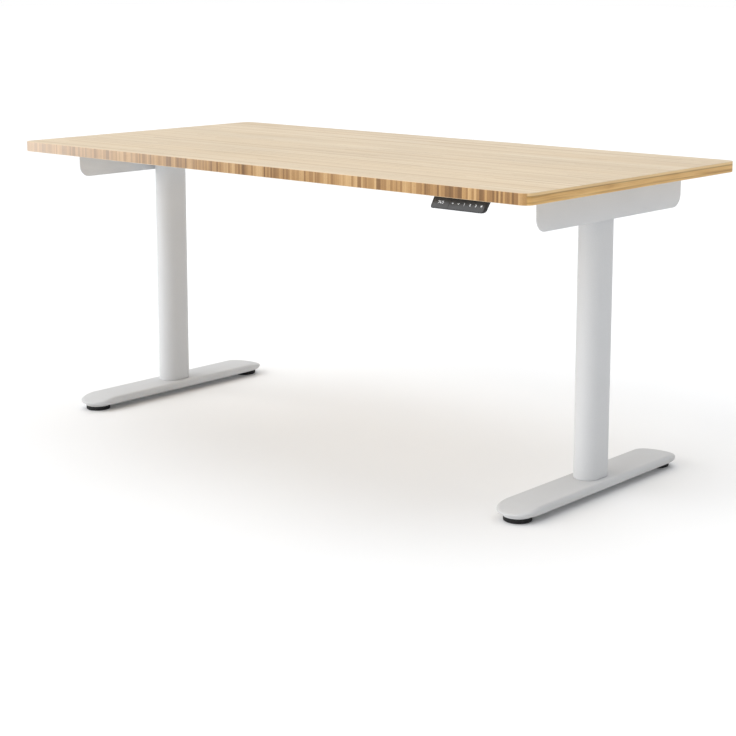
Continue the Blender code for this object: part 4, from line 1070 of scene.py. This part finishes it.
def make_leads():
    """The motor leads and the handset lead with the clips that hold them."""
    box_end = BOX_SIZE[0] / 2
    near_rail = RAIL_Y - RAIL_SECTION[0] / 2 - LEAD_RADIUS - 0.002
    motor_face = COLUMN_X - 0.025 - 0.0195 - GAP
    clips = bmesh.new()
    for side, sign in SIDES:
        route = [(motor_face, 0.05, WORM_Z), (motor_face - 0.035, 0.05, WORM_Z),
                 (0.56, near_rail - 0.002, WORM_Z), (0.42, near_rail, WORM_Z + 0.001),
                 (0.3, near_rail, WORM_Z - 0.001), (0.21, near_rail - 0.002, WORM_Z),
                 (0.165, 0.05, WORM_Z), (0.145, 0.035, WORM_Z), (box_end + 0.01, 0.03, WORM_Z),
                 (box_end + GAP, 0.03, WORM_Z)]
        route = [(sign * x, y, z) for x, y, z in route]
        make_lead(f"{side}_motor_cable", f"{side}_motor_lead", route, LEAD_RADIUS)
        for x, y, z in (route[3], route[4], (sign * 0.5, near_rail - 0.0008, WORM_Z + 0.0008)):
            band = [level(circle(LEAD_RADIUS + 0.0014, 20), h) for h in (-0.004, -0.0034, 0.0034, 0.004)]
            loft(clips, band, move=at(x, y, z, (pi / 2, "Y")))
            block(clips, (0.012, 0.0022, 0.016), at(x, y + LEAD_RADIUS + 0.0009, z), 0.0006)
        grommet = [(0, -0.0022), (0.0052, -0.0022), (0.0056, -0.0014), (0.0056, 0.001),
                   (0.0044, 0.0024), (0.003, 0.003), (0, 0.003)]
        turned(clips, grommet, 28, at(sign * (COLUMN_X - HOUSING_INBOARD - 0.0012), 0.05, WORM_Z,
                                      (-sign * pi / 2, "Y")))
    over = HUNG - HANDSET_LEAD_RADIUS - 0.0006
    start_z = 0.6745
    start_y = handset_back_y(start_z + HANDSET_LEAD_RADIUS) + GAP
    route = [(0.586, start_y, start_z), (0.586, start_y + 0.01, start_z),
             (0.585, start_y + 0.022, start_z + 0.001), (0.581, -0.325, start_z + 0.006),
             (0.566, -0.3, over), (0.53, -0.25, over), (0.46, -0.205, over),
             (0.38, -0.16, over), (0.31, -0.105, over), (0.24, -0.055, over - 0.001),
             (0.18, -0.022, 0.676), (box_end + 0.02, -0.011, 0.668),
             (box_end + 0.008, -0.01, 0.666), (box_end + GAP, -0.01, 0.666)]
    make_lead("handset_cable", "handset_lead", route, HANDSET_LEAD_RADIUS)
    for x, y in ((0.53, -0.25), (0.46, -0.205), (0.38, -0.16), (0.31, -0.105)):
        block(clips, (0.014, 0.01, 0.0058), at(x, y, HUNG - 0.0029, (radians(35), "Z")), 0.0012)
    made_piece("cable_clips", clips, "black_plastic")


# -------- stage, light and camera

def make_stage():
    """A plain pale floor."""
    shell = bmesh.new()
    bmesh.ops.create_grid(shell, x_segments=8, y_segments=8, size=60)
    mesh = bpy.data.meshes.new("floor")
    shell.to_mesh(mesh)
    shell.free()
    look = Look("pale_floor", Roughness=0.65, Specular_IOR_Level=0.15)
    cloud = look.noise(3, 3)
    look.finish(look.toned((0.95, 0.95, 0.95), look.swing(cloud, 0.995, 1.005)))
    mesh.materials.append(look.made)
    floor = placed("floor", mesh)
    floor.location.z = -0.0002


def make_sun(name, towards, strength, spread):
    """A broad soft light that comes from a direction."""
    light = bpy.data.lights.new(name, "SUN")
    light.energy = strength
    light.angle = radians(spread)
    made = placed(name, light)
    made.rotation_euler = Vector(towards).to_track_quat("Z", "Y").to_euler()


def make_light():
    """A bright even surround, a soft key from the front left and a soft light overhead."""
    world = bpy.data.worlds.new("studio")
    world.use_nodes = True
    white, cool = (1, 1, 1, 1), (0.975, 1, 1.03, 1)
    tree = world.node_tree
    tree.nodes.clear()
    out = tree.nodes.new("ShaderNodeOutputWorld")
    seen, lit, pick = (tree.nodes.new(kind) for kind in
                       ("ShaderNodeBackground", "ShaderNodeBackground", "ShaderNodeMixShader"))
    path = tree.nodes.new("ShaderNodeLightPath")
    for background, colour, strength in ((seen, white, 1), (lit, cool, 0.52)):
        background.inputs["Color"].default_value = colour
        background.inputs["Strength"].default_value = strength
    tree.links.new(path.outputs["Is Camera Ray"], pick.inputs[0])
    tree.links.new(lit.outputs[0], pick.inputs[1])
    tree.links.new(seen.outputs[0], pick.inputs[2])
    tree.links.new(pick.outputs[0], out.inputs[0])
    bpy.context.scene.world = world
    make_sun("key", (-0.5, -0.8, 0.42), 2.2, 75)
    make_sun("overhead", (-0.15, 0.3, 1), 1.3, 70)


def make_camera():
    """The camera, a little above the desktop, looking from the front right."""
    data = bpy.data.cameras.new("camera")
    data.lens, data.sensor_width = 80.6, 36
    data.shift_y = -0.16
    data.clip_end = 200
    camera = placed("camera", data)
    camera.location = (2.6723, -2.9539, 1.1137)
    camera.rotation_euler = (radians(90 - 9.244), 0, radians(41.827))
    bpy.context.scene.camera = camera


# -------- assembly

for node in NODES.values():
    for place in node.material_slots:
        place.material = LOOKS[place.material.name.split(".")[0]]

make_desktop()
for side, sign in SIDES:
    make_foot(side, sign)
    make_column(side, sign)
    make_housing(side, sign)
    make_bracket(side, sign)
    for end, y_sign in ENDS:
        make_glide(end, y_sign, side, sign)
make_screws()
make_rails()
make_control_box()
make_handset()
make_leads()
make_stage()
make_light()
make_camera()
bpy.context.scene.view_settings.view_transform = "Standard"
